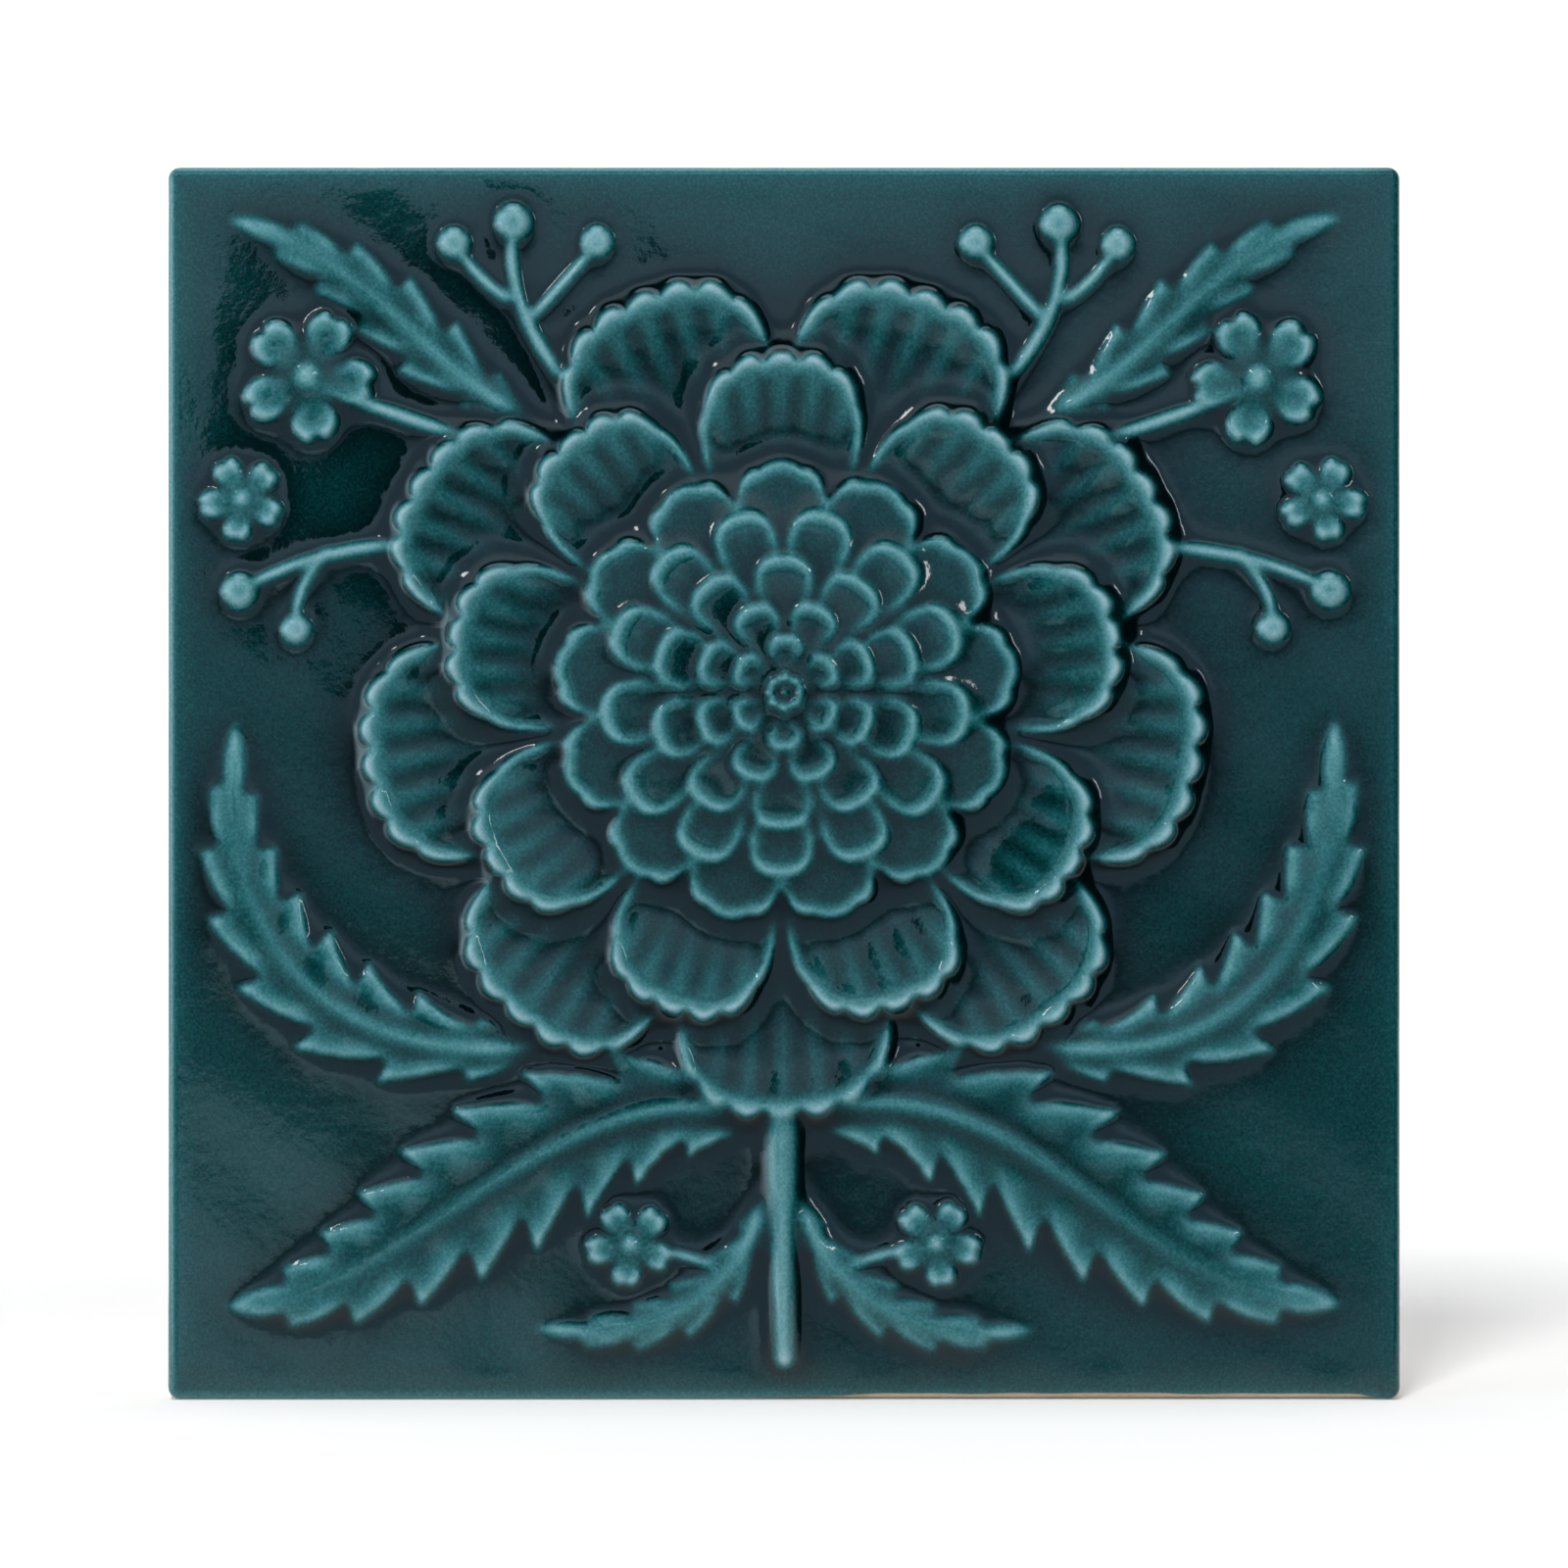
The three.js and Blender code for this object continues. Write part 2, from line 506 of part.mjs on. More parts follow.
// Joins places into facets, turning edges until none is a sliver (Delaunay's rule). After the relief's own
// lines it adds whichever sample encloses the most volume between the facets and the sampled surfaces.
class FacetNet {
  constructor() {
    this.corners = [
      [0, -faceHalfHeight],
      [faceHalfWidth, -faceHalfHeight],
      [faceHalfWidth, faceHalfHeight],
      [0, faceHalfHeight],
    ];
    this.facets = new Set();
    this.edges = new Map();
    this.measuring = false;
    this.addFacet(0, 1, 2);
    this.addFacet(0, 2, 3);
  }

  static key(a, b) {
    return a * 100000 + b;
  }

  static turn([ax, az], [bx, bz], [cx, cz]) {
    return (bx - ax) * (cz - az) - (bz - az) * (cx - ax);
  }

  addFacet(a, b, c) {
    const facet = { corners: [a, b, c], error: 0, at: null };
    this.facets.add(facet);
    for (let side = 0; side < 3; side += 1) {
      this.edges.set(FacetNet.key(facet.corners[side], facet.corners[(side + 1) % 3]), facet);
    }
    if (this.measuring) this.measure(facet);
  }

  removeFacet(facet) {
    this.facets.delete(facet);
    for (let side = 0; side < 3; side += 1) {
      this.edges.delete(FacetNet.key(facet.corners[side], facet.corners[(side + 1) % 3]));
    }
  }

  heights([x, z]) {
    const clay = reliefHeight(x, z);
    return [clay, glazeOver(clay, readGrid(poolGrid, x, z))];
  }

  measure(facet) {
    const [a, b, c] = facet.corners.map((corner) => this.corners[corner]);
    const whole = FacetNet.turn(a, b, c);
    const ends = [a, b, c].map((place) => this.heights(place));
    const reachX = [a, b, c].map(([x]) => (x / faceHalfWidth) * columns);
    const reachZ = [a, b, c].map(([, z]) => ((z + faceHalfHeight) / (2 * faceHalfHeight)) * rows);
    let furthest = 0;
    for (let j = Math.ceil(Math.min(...reachZ)); j <= Math.max(...reachZ); j += 1) {
      for (let i = Math.ceil(Math.min(...reachX)); i <= Math.max(...reachX); i += 1) {
        const place = [gridX(i), gridZ(j)];
        const weights = [[b, c], [c, a], [a, b]].map(([from, to]) => FacetNet.turn(from, to, place) / whole);
        if (Math.min(...weights) < -onEdge || Math.max(...weights) > closeToCorner) continue;
        const at = gridIndex(i, j);
        const off = [clayGrid[at], glazeGrid[at]].map((height, surface) =>
          Math.abs(height - weights.reduce((sum, weight, end) => sum + weight * ends[end][surface], 0)));
        const worst = Math.max(...off);
        facet.error += worst;
        if (worst > furthest) {
          furthest = worst;
          facet.at = place;
        }
      }
    }
  }

  // Turns the edge a-b, seen from the new corner, when the corner beyond it lies in the facet's circle
  settle(a, b, fresh) {
    const beyond = this.edges.get(FacetNet.key(b, a));
    if (!beyond) return;
    const far = beyond.corners.find((corner) => corner !== a && corner !== b);
    if (!this.inCircle(a, b, fresh, far)) return;
    this.removeFacet(beyond);
    this.removeFacet(this.edges.get(FacetNet.key(a, b)));
    this.addFacet(a, far, fresh);
    this.addFacet(far, b, fresh);
    this.settle(a, far, fresh);
    this.settle(far, b, fresh);
  }

  inCircle(a, b, c, d) {
    const [pa, pb, pc, pd] = [a, b, c, d].map((corner) => this.corners[corner]);
    if (FacetNet.turn(pa, pd, pc) < thinnest || FacetNet.turn(pd, pb, pc) < thinnest) return false;
    const [ax, az, bx, bz, cx, cz] = [pa, pb, pc].flatMap(([x, z]) => [x - pd[0], z - pd[1]]);
    const lifted = (ax * ax + az * az) * (bx * cz - cx * bz)
      - (bx * bx + bz * bz) * (ax * cz - cx * az)
      + (cx * cx + cz * cz) * (ax * bz - bx * az);
    return lifted > 1e-6;
  }

  holding(place) {
    for (const facet of this.facets) {
      const [a, b, c] = facet.corners.map((corner) => this.corners[corner]);
      const inside = Math.min(
        FacetNet.turn(a, b, place), FacetNet.turn(b, c, place), FacetNet.turn(c, a, place));
      if (inside >= -onEdge) return facet;
    }
    return null;
  }

  insert(facet, place) {
    const fresh = this.corners.push(place) - 1;
    const [a, b, c] = facet.corners;
    const ring = [];
    for (const [from, to] of [[a, b], [b, c], [c, a]]) {
      const area = FacetNet.turn(this.corners[from], this.corners[to], place);
      const beyond = this.edges.get(FacetNet.key(to, from));
      if (area > flattest) {
        ring.push([from, to]);
      } else if (beyond) {
        const far = beyond.corners.find((corner) => corner !== from && corner !== to);
        ring.push([from, far], [far, to]);
        this.removeFacet(beyond);
      }
    }
    this.removeFacet(facet);
    for (const [from, to] of ring) this.addFacet(from, to, fresh);
    for (const [from, to] of ring) this.settle(from, to, fresh);
  }

  follow(places) {
    for (const place of places) this.insert(this.holding(place), place);
    return this;
  }

  refine(extra) {
    this.measuring = true;
    for (const facet of this.facets) this.measure(facet);
    for (let count = 0; count < extra; count += 1) {
      let worst = null;
      for (const facet of this.facets) if (facet.at && facet.error > (worst?.error ?? 0)) worst = facet;
      this.insert(worst, worst.at);
    }
    return this;
  }
}

// Both halves of the face as one net: its places, and its facets seen from the front
function mirroredNet(fit) {
  const places = [];
  const right = [];
  const left = [];
  for (const [x, z] of fit.corners) {
    const [clay, glaze] = fit.heights([x, z]);
    right.push(places.push({ x, z, clay, glaze }) - 1);
    left.push(x === 0 ? places.length - 1 : places.push({ x: -x, z, clay, glaze }) - 1);
  }
  const facets = [];
  for (const { corners: [a, b, c] } of fit.facets) {
    facets.push([right[a], right[b], right[c]], [left[c], left[b], left[a]]);
  }
  return { places, facets };
}

// The net's outer edge in order. Each entry says where the side lies from there, and a corner of the
// face has three entries, so that the offset loops turn it in an arc.
function outerLoop({ places, facets }) {
  const next = new Map();
  for (const [a, b, c] of facets) {
    for (const [from, to] of [[a, b], [b, c], [c, a]]) next.set(FacetNet.key(from, to), [from, to]);
  }
  const follow = new Map();
  for (const [from, to] of next.values()) {
    if (!next.has(FacetNet.key(to, from))) follow.set(from, to);
  }
  const start = follow.keys().next().value;
  const loop = [];
  let place = start;
  do {
    const { x, z } = places[place];
    const overSide = Math.abs(Math.abs(x) - faceHalfWidth) < 1e-6 ? Math.sign(x) : 0;
    const overEnd = Math.abs(Math.abs(z) - faceHalfHeight) < 1e-6 ? Math.sign(z) : 0;
    if (overSide !== 0 && overEnd !== 0) {
      const first = overSide === overEnd ? [overSide, 0] : [0, overEnd];
      const last = overSide === overEnd ? [0, overEnd] : [overSide, 0];
      loop.push({ place, out: first });
      loop.push({ place, out: [overSide * Math.SQRT1_2, overEnd * Math.SQRT1_2] });
      loop.push({ place, out: last });
    } else {
      loop.push({ place, out: [overSide, overEnd] });
    }
    place = follow.get(place);
  } while (place !== start);
  return loop;
}

// Collects corners and triangles for one closed body
class Shell {
  constructor() {
    this.position = [];
    this.index = [];
  }

  corner(x, y, z) {
    this.position.push(x, y, z);
    return this.position.length / 3 - 1;
  }

  net(places, facets, depthOf, outward) {
    const corners = places.map((place) => this.corner(place.x, depthOf(place), place.z));
    for (const [a, b, c] of facets) {
      const triangle = [corners[a], corners[b], corners[c]];
      this.index.push(...(outward ? triangle : triangle.reverse()));
    }
    return corners;
  }

  // A strip between two loops of corners. A loop may be one corner repeated, which closes the strip to a fan.
  strip(near, far, outward) {
    for (let step = 0; step < near.length; step += 1) {
      const following = (step + 1) % near.length;
      const quad = [near[step], near[following], far[following], far[step]];
      for (const [a, b, c] of [[quad[1], quad[0], quad[3]], [quad[1], quad[3], quad[2]]]) {
        if (a === b || b === c || c === a) continue;
        this.index.push(...(outward ? [a, b, c] : [c, b, a]));
      }
    }
  }

  geometry() {
    const geometry = new THREE.BufferGeometry();
    geometry.setAttribute("position", new THREE.Float32BufferAttribute(this.position, 3));
    geometry.setIndex(this.index);
    return geometry;
  }
}

const groundY = -bodyThickness / 2;
const keyBackY = bodyThickness / 2;
const slabBackY = keyBackY - keyHeight;
const net = mirroredNet(new FacetNet().follow(reliefPlaces()).refine(extraCorners));
const loop = outerLoop(net);

// A loop of corners on the arris, at a quarter circle's angle, lifted off the clay by a coat of glaze
function arrisLoop(shell, step, coat) {
  const angle = (TURN / 4) * (step / arrisSteps);
  return loop.map(({ place, out }) => {
    const { x, z } = net.places[place];
    const reach = (arrisRadius + coat) * Math.sin(angle);
    const y = groundY + arrisRadius - (arrisRadius + coat) * Math.cos(angle);
    return shell.corner(x + out[0] * reach, y, z + out[1] * reach);
  });
}

function solidOf(geometry) {
  const bare = geometry.clone();
  bare.deleteAttribute("normal");
  bare.deleteAttribute("uv");
  const merged = mergeVertices(bare, 1e-5);
  return new wasm.Manifold(new wasm.Mesh({
    numProp: 3,
    vertProperties: Float32Array.from(merged.attributes.position.array),
    triVerts: Uint32Array.from(merged.index.array),
  }));
}

function geometryOf(solid) {
  const mesh = solid.getMesh();
  const geometry = new THREE.BufferGeometry();
  geometry.setAttribute("position", new THREE.BufferAttribute(Float32Array.from(mesh.vertProperties), 3));
  geometry.setIndex(new THREE.BufferAttribute(Uint32Array.from(mesh.triVerts), 1));
  return geometry;
}

// One key: a bar of trapezoid section that lies across the back
function keyBar(middleZ) {
  const root = slabBackY - keyRooting;
  const section = new THREE.Shape([
    new THREE.Vector2(root, middleZ - keyWidth / 2 - keyDraft),
    new THREE.Vector2(slabBackY, middleZ - keyWidth / 2 - keyDraft),
    new THREE.Vector2(keyBackY, middleZ - keyWidth / 2),
    new THREE.Vector2(keyBackY, middleZ + keyWidth / 2),
    new THREE.Vector2(slabBackY, middleZ + keyWidth / 2 + keyDraft),
    new THREE.Vector2(root, middleZ + keyWidth / 2 + keyDraft),
  ]);
  const length = tileWidth - 2 * keyInset;
  const bar = new THREE.ExtrudeGeometry(section, { depth: length, bevelEnabled: false, steps: 1 });
  bar.translate(0, 0, -length / 2);
  // The section is drawn in (y, z) and runs along x
  bar.applyMatrix4(new THREE.Matrix4().set(0, 0, 1, 0, 1, 0, 0, 0, 0, 1, 0, 0, 0, 0, 0, 1));
  return bar;
}

function bodyGeometry() {
  const shell = new Shell();
  const face = shell.net(net.places, net.facets, ({ clay }) => groundY - clay, true);
  let rim = loop.map(({ place }) => face[place]);
  for (let step = 1; step <= arrisSteps; step += 1) {
    const following = arrisLoop(shell, step, 0);
    shell.strip(rim, following, true);
    rim = following;
  }
  const back = rim.map((corner) =>
    shell.corner(shell.position[3 * corner], slabBackY, shell.position[3 * corner + 2]));
  shell.strip(rim, back, true);
  const backMiddle = shell.corner(0, slabBackY, 0);
  shell.strip(back, back.map(() => backMiddle), true);
  let body = solidOf(shell.geometry());
  for (let key = 0; key < keyCount; key += 1) {
    const middleZ = (key - (keyCount - 1) / 2) * keyPitch;
    body = body.add(solidOf(keyBar(middleZ)));
  }
  return geometryOf(body);
}

function glazeGeometry() {
  const shell = new Shell();
  const outer = shell.net(net.places, net.facets, ({ glaze }) => groundY - glaze, true);
  const inner = shell.net(net.places, net.facets, ({ clay }) => groundY - clay, false);
  let outerRim = loop.map(({ place }) => outer[place]);
  let innerRim = loop.map(({ place }) => inner[place]);
  for (let step = 1; step <= glazeWrapSteps; step += 1) {
    const coat = mix(glazeOnFlat, glazeAtLip, step / glazeWrapSteps);
    const outerNext = arrisLoop(shell, step, coat);
    const innerNext = arrisLoop(shell, step, 0);
    shell.strip(outerRim, outerNext, true);
    shell.strip(innerRim, innerNext, false);
    outerRim = outerNext;
    innerRim = innerNext;
  }
  shell.strip(outerRim, innerRim, true);
  return shell.geometry();
}

function piece(name, geometry, finish) {
  const mesh = new THREE.Mesh(geometry, new THREE.MeshStandardMaterial(finish));
  mesh.name = name;
  mesh.position.z = tileHeight / 2;
  return mesh;
}

const tile = new THREE.Group();
tile.name = "ceramic_tile";
tile.add(piece("biscuit_body", bodyGeometry(), clayFinish));
tile.add(piece("glaze_coat", glazeGeometry(), glazeFinish));

export default tile;
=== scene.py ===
"""A relief-moulded wall tile: a pressed clay body under a teal glaze that has pooled in its hollows.

The relief is worked out in millimetres, measured from the middle of the tile, and becomes metres where a
mesh is made. The face looks along -Y, the keyed back along +Y, and the tile stands on its lower edge.
"""

import logging
import math
from dataclasses import dataclass, field
from enum import Enum

import bpy
import numpy as np
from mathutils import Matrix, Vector


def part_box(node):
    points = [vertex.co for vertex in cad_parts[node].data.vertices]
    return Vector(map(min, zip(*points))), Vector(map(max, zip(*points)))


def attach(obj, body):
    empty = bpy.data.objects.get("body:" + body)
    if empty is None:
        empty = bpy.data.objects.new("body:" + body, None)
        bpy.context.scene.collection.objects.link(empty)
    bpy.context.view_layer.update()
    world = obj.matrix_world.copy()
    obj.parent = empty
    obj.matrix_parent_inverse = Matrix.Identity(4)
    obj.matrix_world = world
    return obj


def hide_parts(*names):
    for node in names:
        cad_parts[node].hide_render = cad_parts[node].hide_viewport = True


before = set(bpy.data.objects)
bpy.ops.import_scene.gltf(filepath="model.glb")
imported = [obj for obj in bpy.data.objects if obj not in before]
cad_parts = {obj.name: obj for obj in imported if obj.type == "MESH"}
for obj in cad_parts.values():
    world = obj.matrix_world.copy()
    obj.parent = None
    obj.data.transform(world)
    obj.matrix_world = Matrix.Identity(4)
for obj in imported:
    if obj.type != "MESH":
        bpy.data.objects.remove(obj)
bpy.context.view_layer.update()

LOG = logging.getLogger("wall_tile")

MM = 0.001
TAU = 2 * math.pi

BODY_NODE = "biscuit_body"
COAT_NODE = "glaze_coat"
DEPTH_ATTRIBUTE = "glaze_depth"
BACK_ATTRIBUTE = "lies_on_back"
NUMBER_SOCKETS = {int: "NodeSocketInt", float: "NodeSocketFloat"}
VALUE_OUTPUT = ("Value", "NodeSocketFloat")

Point = tuple[float, float]
Colour = tuple[float, float, float]
Loop = tuple[np.ndarray, np.ndarray]
Output = tuple[str, str]
Box = tuple[float, float, float, float]
Rgba = tuple[float, float, float, float]
Fade = tuple[float, float, float, float]


def ramp(start: float, end: float, value: np.ndarray | float) -> np.ndarray:
    """A smooth climb from 0 at start to 1 at end."""
    share = np.clip((value - start) / (end - start), 0, 1)
    return share * share * (3 - 2 * share)


def bell(value: np.ndarray) -> np.ndarray:
    """A hump of height 1 round 0."""
    return np.exp(-value * value)


def dome(value: np.ndarray) -> np.ndarray:
    """The height of a unit dome at a distance from its middle."""
    return np.sqrt(np.clip(1 - value * value, 0, None))


def mix(low: np.ndarray | float, high: np.ndarray | float, share: np.ndarray | float) -> np.ndarray:
    """The value that lies a share of the way from low to high."""
    return low + (high - low) * share


def soft_max(first: np.ndarray, second: np.ndarray, blend: float) -> np.ndarray:
    """The higher of two surfaces, rounded over where they cross.

    Args:
        first: Heights of the one surface.
        second: Heights of the other.
        blend: How far apart the two still round each other off.

    Returns:
        The joined heights.
    """
    share = np.clip(0.5 + (first - second) / (2 * blend), 0, 1)
    return mix(second, first, share) + blend * share * (1 - share)


def square(x: float, z: float, reach: float) -> Box:
    """The lowest and highest x and z of a square round a place."""
    return x - reach, x + reach, z - reach, z + reach


@dataclass(frozen=True)
class Slab:
    """The pressed body's sizes, in millimetres. What the frame holds comes from the frame."""

    half_width: float
    height: float
    ground: float
    back: float
    arris: float = 1.5
    key_count: int = 8
    key_pitch: float = 17.5
    key_width: float = 8.0
    key_height: float = 1.6
    key_draft: float = 0.7
    key_inset: float = 7.0
    back_arris: float = 0.6

    @classmethod
    def from_frame(cls) -> "Slab":
        """Reads the body's outer sizes from its node. Its origin lies halfway through the slab."""
        low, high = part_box(BODY_NODE)
        back = high.y / MM
        return cls(half_width=high.x / MM, height=(high.z - low.z) / MM, ground=-back, back=back)

    @property
    def half_height(self) -> float:
        """Half the tile's height."""
        return self.height / 2

    @property
    def face_half(self) -> tuple[float, float]:
        """Half the width and half the height of the face, inside its arris."""
        return self.half_width - self.arris, self.half_height - self.arris

    @property
    def slab_back(self) -> float:
        """Where the back lies between the keys."""
        return self.back - self.key_height


class Line:
    """A curved line of points on the face, such as a midrib or a stem."""

    steps = 28

    def __init__(self, *controls: Point) -> None:
        """Draws a Bezier curve.

        Args:
            controls: Three or four control points.
        """
        share = np.linspace(0, 1, self.steps + 1)[:, None]
        order = len(controls) - 1
        self.points = sum(
            math.comb(order, place) * share**place * (1 - share) ** (order - place) * np.array(control)
            for place, control in enumerate(controls)
        )
        spans = np.linalg.norm(np.diff(self.points, axis=0), axis=1)
        self.length = float(spans.sum())
        self.runs = np.concatenate([[0], np.cumsum(spans)]) / self.length

    def box(self, margin: float) -> Box:
        """The lowest and highest x and z that lie within a margin of the line."""
        low = self.points.min(axis=0) - margin
        high = self.points.max(axis=0) + margin
        return low[0], high[0], low[1], high[1]

    def nearest(self, x: np.ndarray, z: np.ndarray) -> tuple[np.ndarray, np.ndarray, np.ndarray]:
        """Finds the place on the line next to each sample.

        Args:
            x: Where the samples lie across the face.
            z: Where they lie up the face.

        Returns:
            The share of the length, the distance, and the side, which is 1 on the left and -1 on the right.
        """
        along = np.zeros_like(x)
        off = np.full_like(x, np.inf)
        side = np.ones_like(x)
        for start, end, run, following in zip(self.points, self.points[1:], self.runs, self.runs[1:]):
            way = end - start
            over, up = x - start[0], z - start[1]
            share = np.clip((over * way[0] + up * way[1]) / (way @ way), 0, 1)
            distance = np.hypot(over - share * way[0], up - share * way[1])
            nearer = distance < off
            off = np.where(nearer, distance, off)
            along = np.where(nearer, mix(run, following, share), along)
            side = np.where(nearer, np.sign(way[0] * up - way[1] * over), side)
        return along, off, side


class Form:
    """A raised form of the relief. A form covers a box and gives heights inside it."""

    flank = 1.1

    def box(self) -> Box:
        """The lowest and highest x and z that the form reaches."""
        raise NotImplementedError

    def height(self, x: np.ndarray, z: np.ndarray) -> np.ndarray:
        """The form's height over the ground at each sample."""
        raise NotImplementedError

    def slope(self, depth: np.ndarray) -> np.ndarray:
        """How far the side of the form has climbed, at a depth inside its margin."""
        return ramp(-0.1, self.flank, depth)


@dataclass(frozen=True)
class Whorl(Form):
    """A ring of petals round the bloom's middle.

    root and reach are radii, turn is counted in petals, and spread is half a petal's angle. crests and
    notch scallop its margin, flute is the depth of the folds that run out to it, and the hollow climbs from
    floor to lip inside a raised rim. The folds rise above the hollow and sink below it round fold_middle.
    """

    middle: float
    count: int
    turn: float
    root: float
    reach: float
    spread: float
    crests: int
    notch: float
    rim: float
    rim_width: float
    floor: float = 0.0
    lip: float = 0.0
    flute: float = 0.0
    crest_depth: float = 1.2
    margin_power: float = 3.2
    margin_round: float = 0.55
    climb_power: float = 1.2
    scallop_power: float = 0.7
    rim_at_root: float = 0.35
    fold_middle: float = 0.55

    def box(self) -> Box:
        """The square round the whorl."""
        return square(0.0, self.middle, self.reach)

    def bed(self, radius: np.ndarray, along: np.ndarray) -> np.ndarray:
        """The height of a petal's hollow."""
        return mix(self.floor, self.lip, along**self.climb_power)

    def petal(self, radius: np.ndarray, off: np.ndarray) -> np.ndarray:
        """The height of one petal.

        Args:
            radius: Distances from the bloom's middle.
            off: Shares of the petal's spread to either side of its own middle.

        Returns:
            Heights over the ground, 0 outside the petal.
        """
        across = np.clip(np.abs(off), 0, 1)
        wave = np.abs(np.cos(math.pi / 2 * self.crests * off))
        scallop = self.notch * (1 - wave**self.scallop_power) * (1 - across**4)
        margin = self.root + (self.reach - self.root) * (1 - across**self.margin_power) ** self.margin_round
        depth = np.minimum(margin - scallop - radius, radius * self.spread * (1 - np.abs(off)))
        along = np.clip((radius - self.root) / (self.reach - self.root), 0, 1)
        rim = self.rim * bell((depth - self.crest_depth) / self.rim_width) * mix(self.rim_at_root, 1, along)
        fold = self.flute * (wave - self.fold_middle) * ramp(0.1, 0.9, along)
        height = (self.bed(radius, along) + rim + fold) * self.slope(depth)
        return np.where((np.abs(off) < 1) & (depth > -0.1), height, 0)

    def height(self, x: np.ndarray, z: np.ndarray) -> np.ndarray:
        """The highest of the petals that overlap at each sample."""
        radius = np.hypot(x, z - self.middle)
        turns = (np.arctan2(z - self.middle, x) - TAU / 4) * self.count / TAU - self.turn
        beside = turns - np.round(turns)
        width = TAU / self.count / self.spread
        petals = [self.petal(radius, (beside - neighbour) * width) for neighbour in (-1, 0, 1)]
        return np.maximum.reduce(petals)


@dataclass(frozen=True)
class Heart(Form):
    """The dome in the middle of the bloom, and the beads that close it."""

    middle: float
    radius: float = 29.0
    rise: float = 6.2
    sink: float = 1.6
    climb: float = 1.0
    eye_radius: float = 2.7
    eye_height: float = 6.5
    beads: int = 8
    bead_radius: float = 0.72
    bead_rise: float = 1.5
    bead_inset: float = 0.15
    crown_reach: float = 1.1
    core_inset: float = 2.0
    core_sink: float = 0.4

    def box(self) -> Box:
        """The square round the dome."""
        return square(0.0, self.middle, self.radius)

    def crown(self, radius: np.ndarray) -> np.ndarray:
        """The height of the dome at a distance from its middle."""
        return self.rise * dome(radius / (self.crown_reach * self.radius))

    def height(self, x: np.ndarray, z: np.ndarray) -> np.ndarray:
        """The dome under its florets, with a ring of beads round a middle one."""
        radius = np.hypot(x, z - self.middle)
        under = self.crown(radius) - self.sink - self.core_sink
        core = np.where(radius < self.radius - self.core_inset, under, 0)
        ring = self.eye_radius - self.bead_radius - self.bead_inset
        places = [(0.0, 0.0)]
        for bead in range(self.beads):
            turn = TAU * bead / self.beads
            places.append((ring * math.cos(turn), ring * math.sin(turn)))
        for over, up in places:
            distance = np.hypot(x - over, z - self.middle - up)
            bump = self.eye_height - self.bead_rise + self.bead_rise * dome(distance / self.bead_radius)
            core = np.where(distance < self.bead_radius, np.maximum(core, bump), core)
        return core


@dataclass(frozen=True)
class Floret(Whorl):
    """A ring of scale-like florets that follow the heart's dome."""

    heart: Heart | None = None
    flank = 0.9

    def bed(self, radius: np.ndarray, along: np.ndarray) -> np.ndarray:
        """The hollow lies under the dome and climbs towards the tip."""
        return self.heart.crown(radius) - self.heart.sink + self.heart.climb * along**self.climb_power


@dataclass(frozen=True)
class Leaf(Form):
    """A serrated leaf with a raised midrib and a vein out to each tooth."""

    midrib: Line
    half_width: float
    teeth: int
    bite: float
    rise: float
    skew: float = 0.55
    stagger: float = 0.15
    crest_share: float = 0.82
    rib: float = 0.6
    rib_width: float = 0.8
    vein: float = 0.16
    channel: float = 0.3
    channel_at: float = 2.4
    least_half: float = 0.35
    inner_share: float = 0.82
    tip_drop: float = 0.35

    def box(self) -> Box:
        """The box round the leaf."""
        return self.midrib.box(self.half_width + 1)

    def height(self, x: np.ndarray, z: np.ndarray) -> np.ndarray:
        """The blade, its teeth, its midrib and its veins."""
        along, off, side = self.midrib.nearest(x, z)
        half = self.half_width * np.sin(math.pi * along**0.85) ** 0.8 + self.least_half
        lean = along - self.skew * off / self.midrib.length
        tooth = np.mod(self.teeth * lean + np.where(side > 0, self.stagger, 0), 1)
        climb, fall = tooth / self.crest_share, (1 - tooth) / (1 - self.crest_share)
        saw = np.where(tooth < self.crest_share, climb, fall)
        margin = half * (1 - self.bite * (1 - saw) * ramp(0.04, 0.2, along))
        share = np.clip(off / half, 0, 1)
        blade = self.rise * mix(self.inner_share, 1, share**2) * ramp(-0.01, 0.12, along)
        blade = blade * (1 - self.tip_drop * along)
        rib = self.rib * (1 - along) * bell(off / self.rib_width)
        beside = off - self.channel_at * self.rib_width
        channel = -self.channel * (1 - along) * bell(beside / self.rib_width)
        vein = self.vein * np.cos(TAU * (tooth - 0.35)) * ramp(0.1, 0.5, share)
        height = (blade + rib + channel + vein) * self.slope(margin - off)
        return np.where(off < margin + 0.1, height, 0)


@dataclass(frozen=True)
class Stem(Form):
    """A round stem that narrows towards its tip."""

    line: Line
    root_radius: float
    tip_radius: float
    rise: float

    def box(self) -> Box:
        """The box round the stem."""
        return self.line.box(self.root_radius)

    def height(self, x: np.ndarray, z: np.ndarray) -> np.ndarray:
        """The stem's round back."""
        along, off, _ = self.line.nearest(x, z)
        return self.rise * dome(off / mix(self.root_radius, self.tip_radius, along))


@dataclass(frozen=True)
class Berry(Form):
    """A round berry at the end of a stem."""

    at: Point
    radius: float
    rise: float
    dimple: float = 0.5
    dimple_share: float = 0.28

    def box(self) -> Box:
        """The square round the berry."""
        return square(*self.at, self.radius)

    def height(self, x: np.ndarray, z: np.ndarray) -> np.ndarray:
        """Half a ball, with a small dimple where the bloom fell off."""
        distance = np.hypot(x - self.at[0], z - self.at[1])
        dimple = self.dimple * bell(distance / (self.dimple_share * self.radius))
        return np.clip(self.rise * dome(distance / self.radius) - dimple, 0, None)


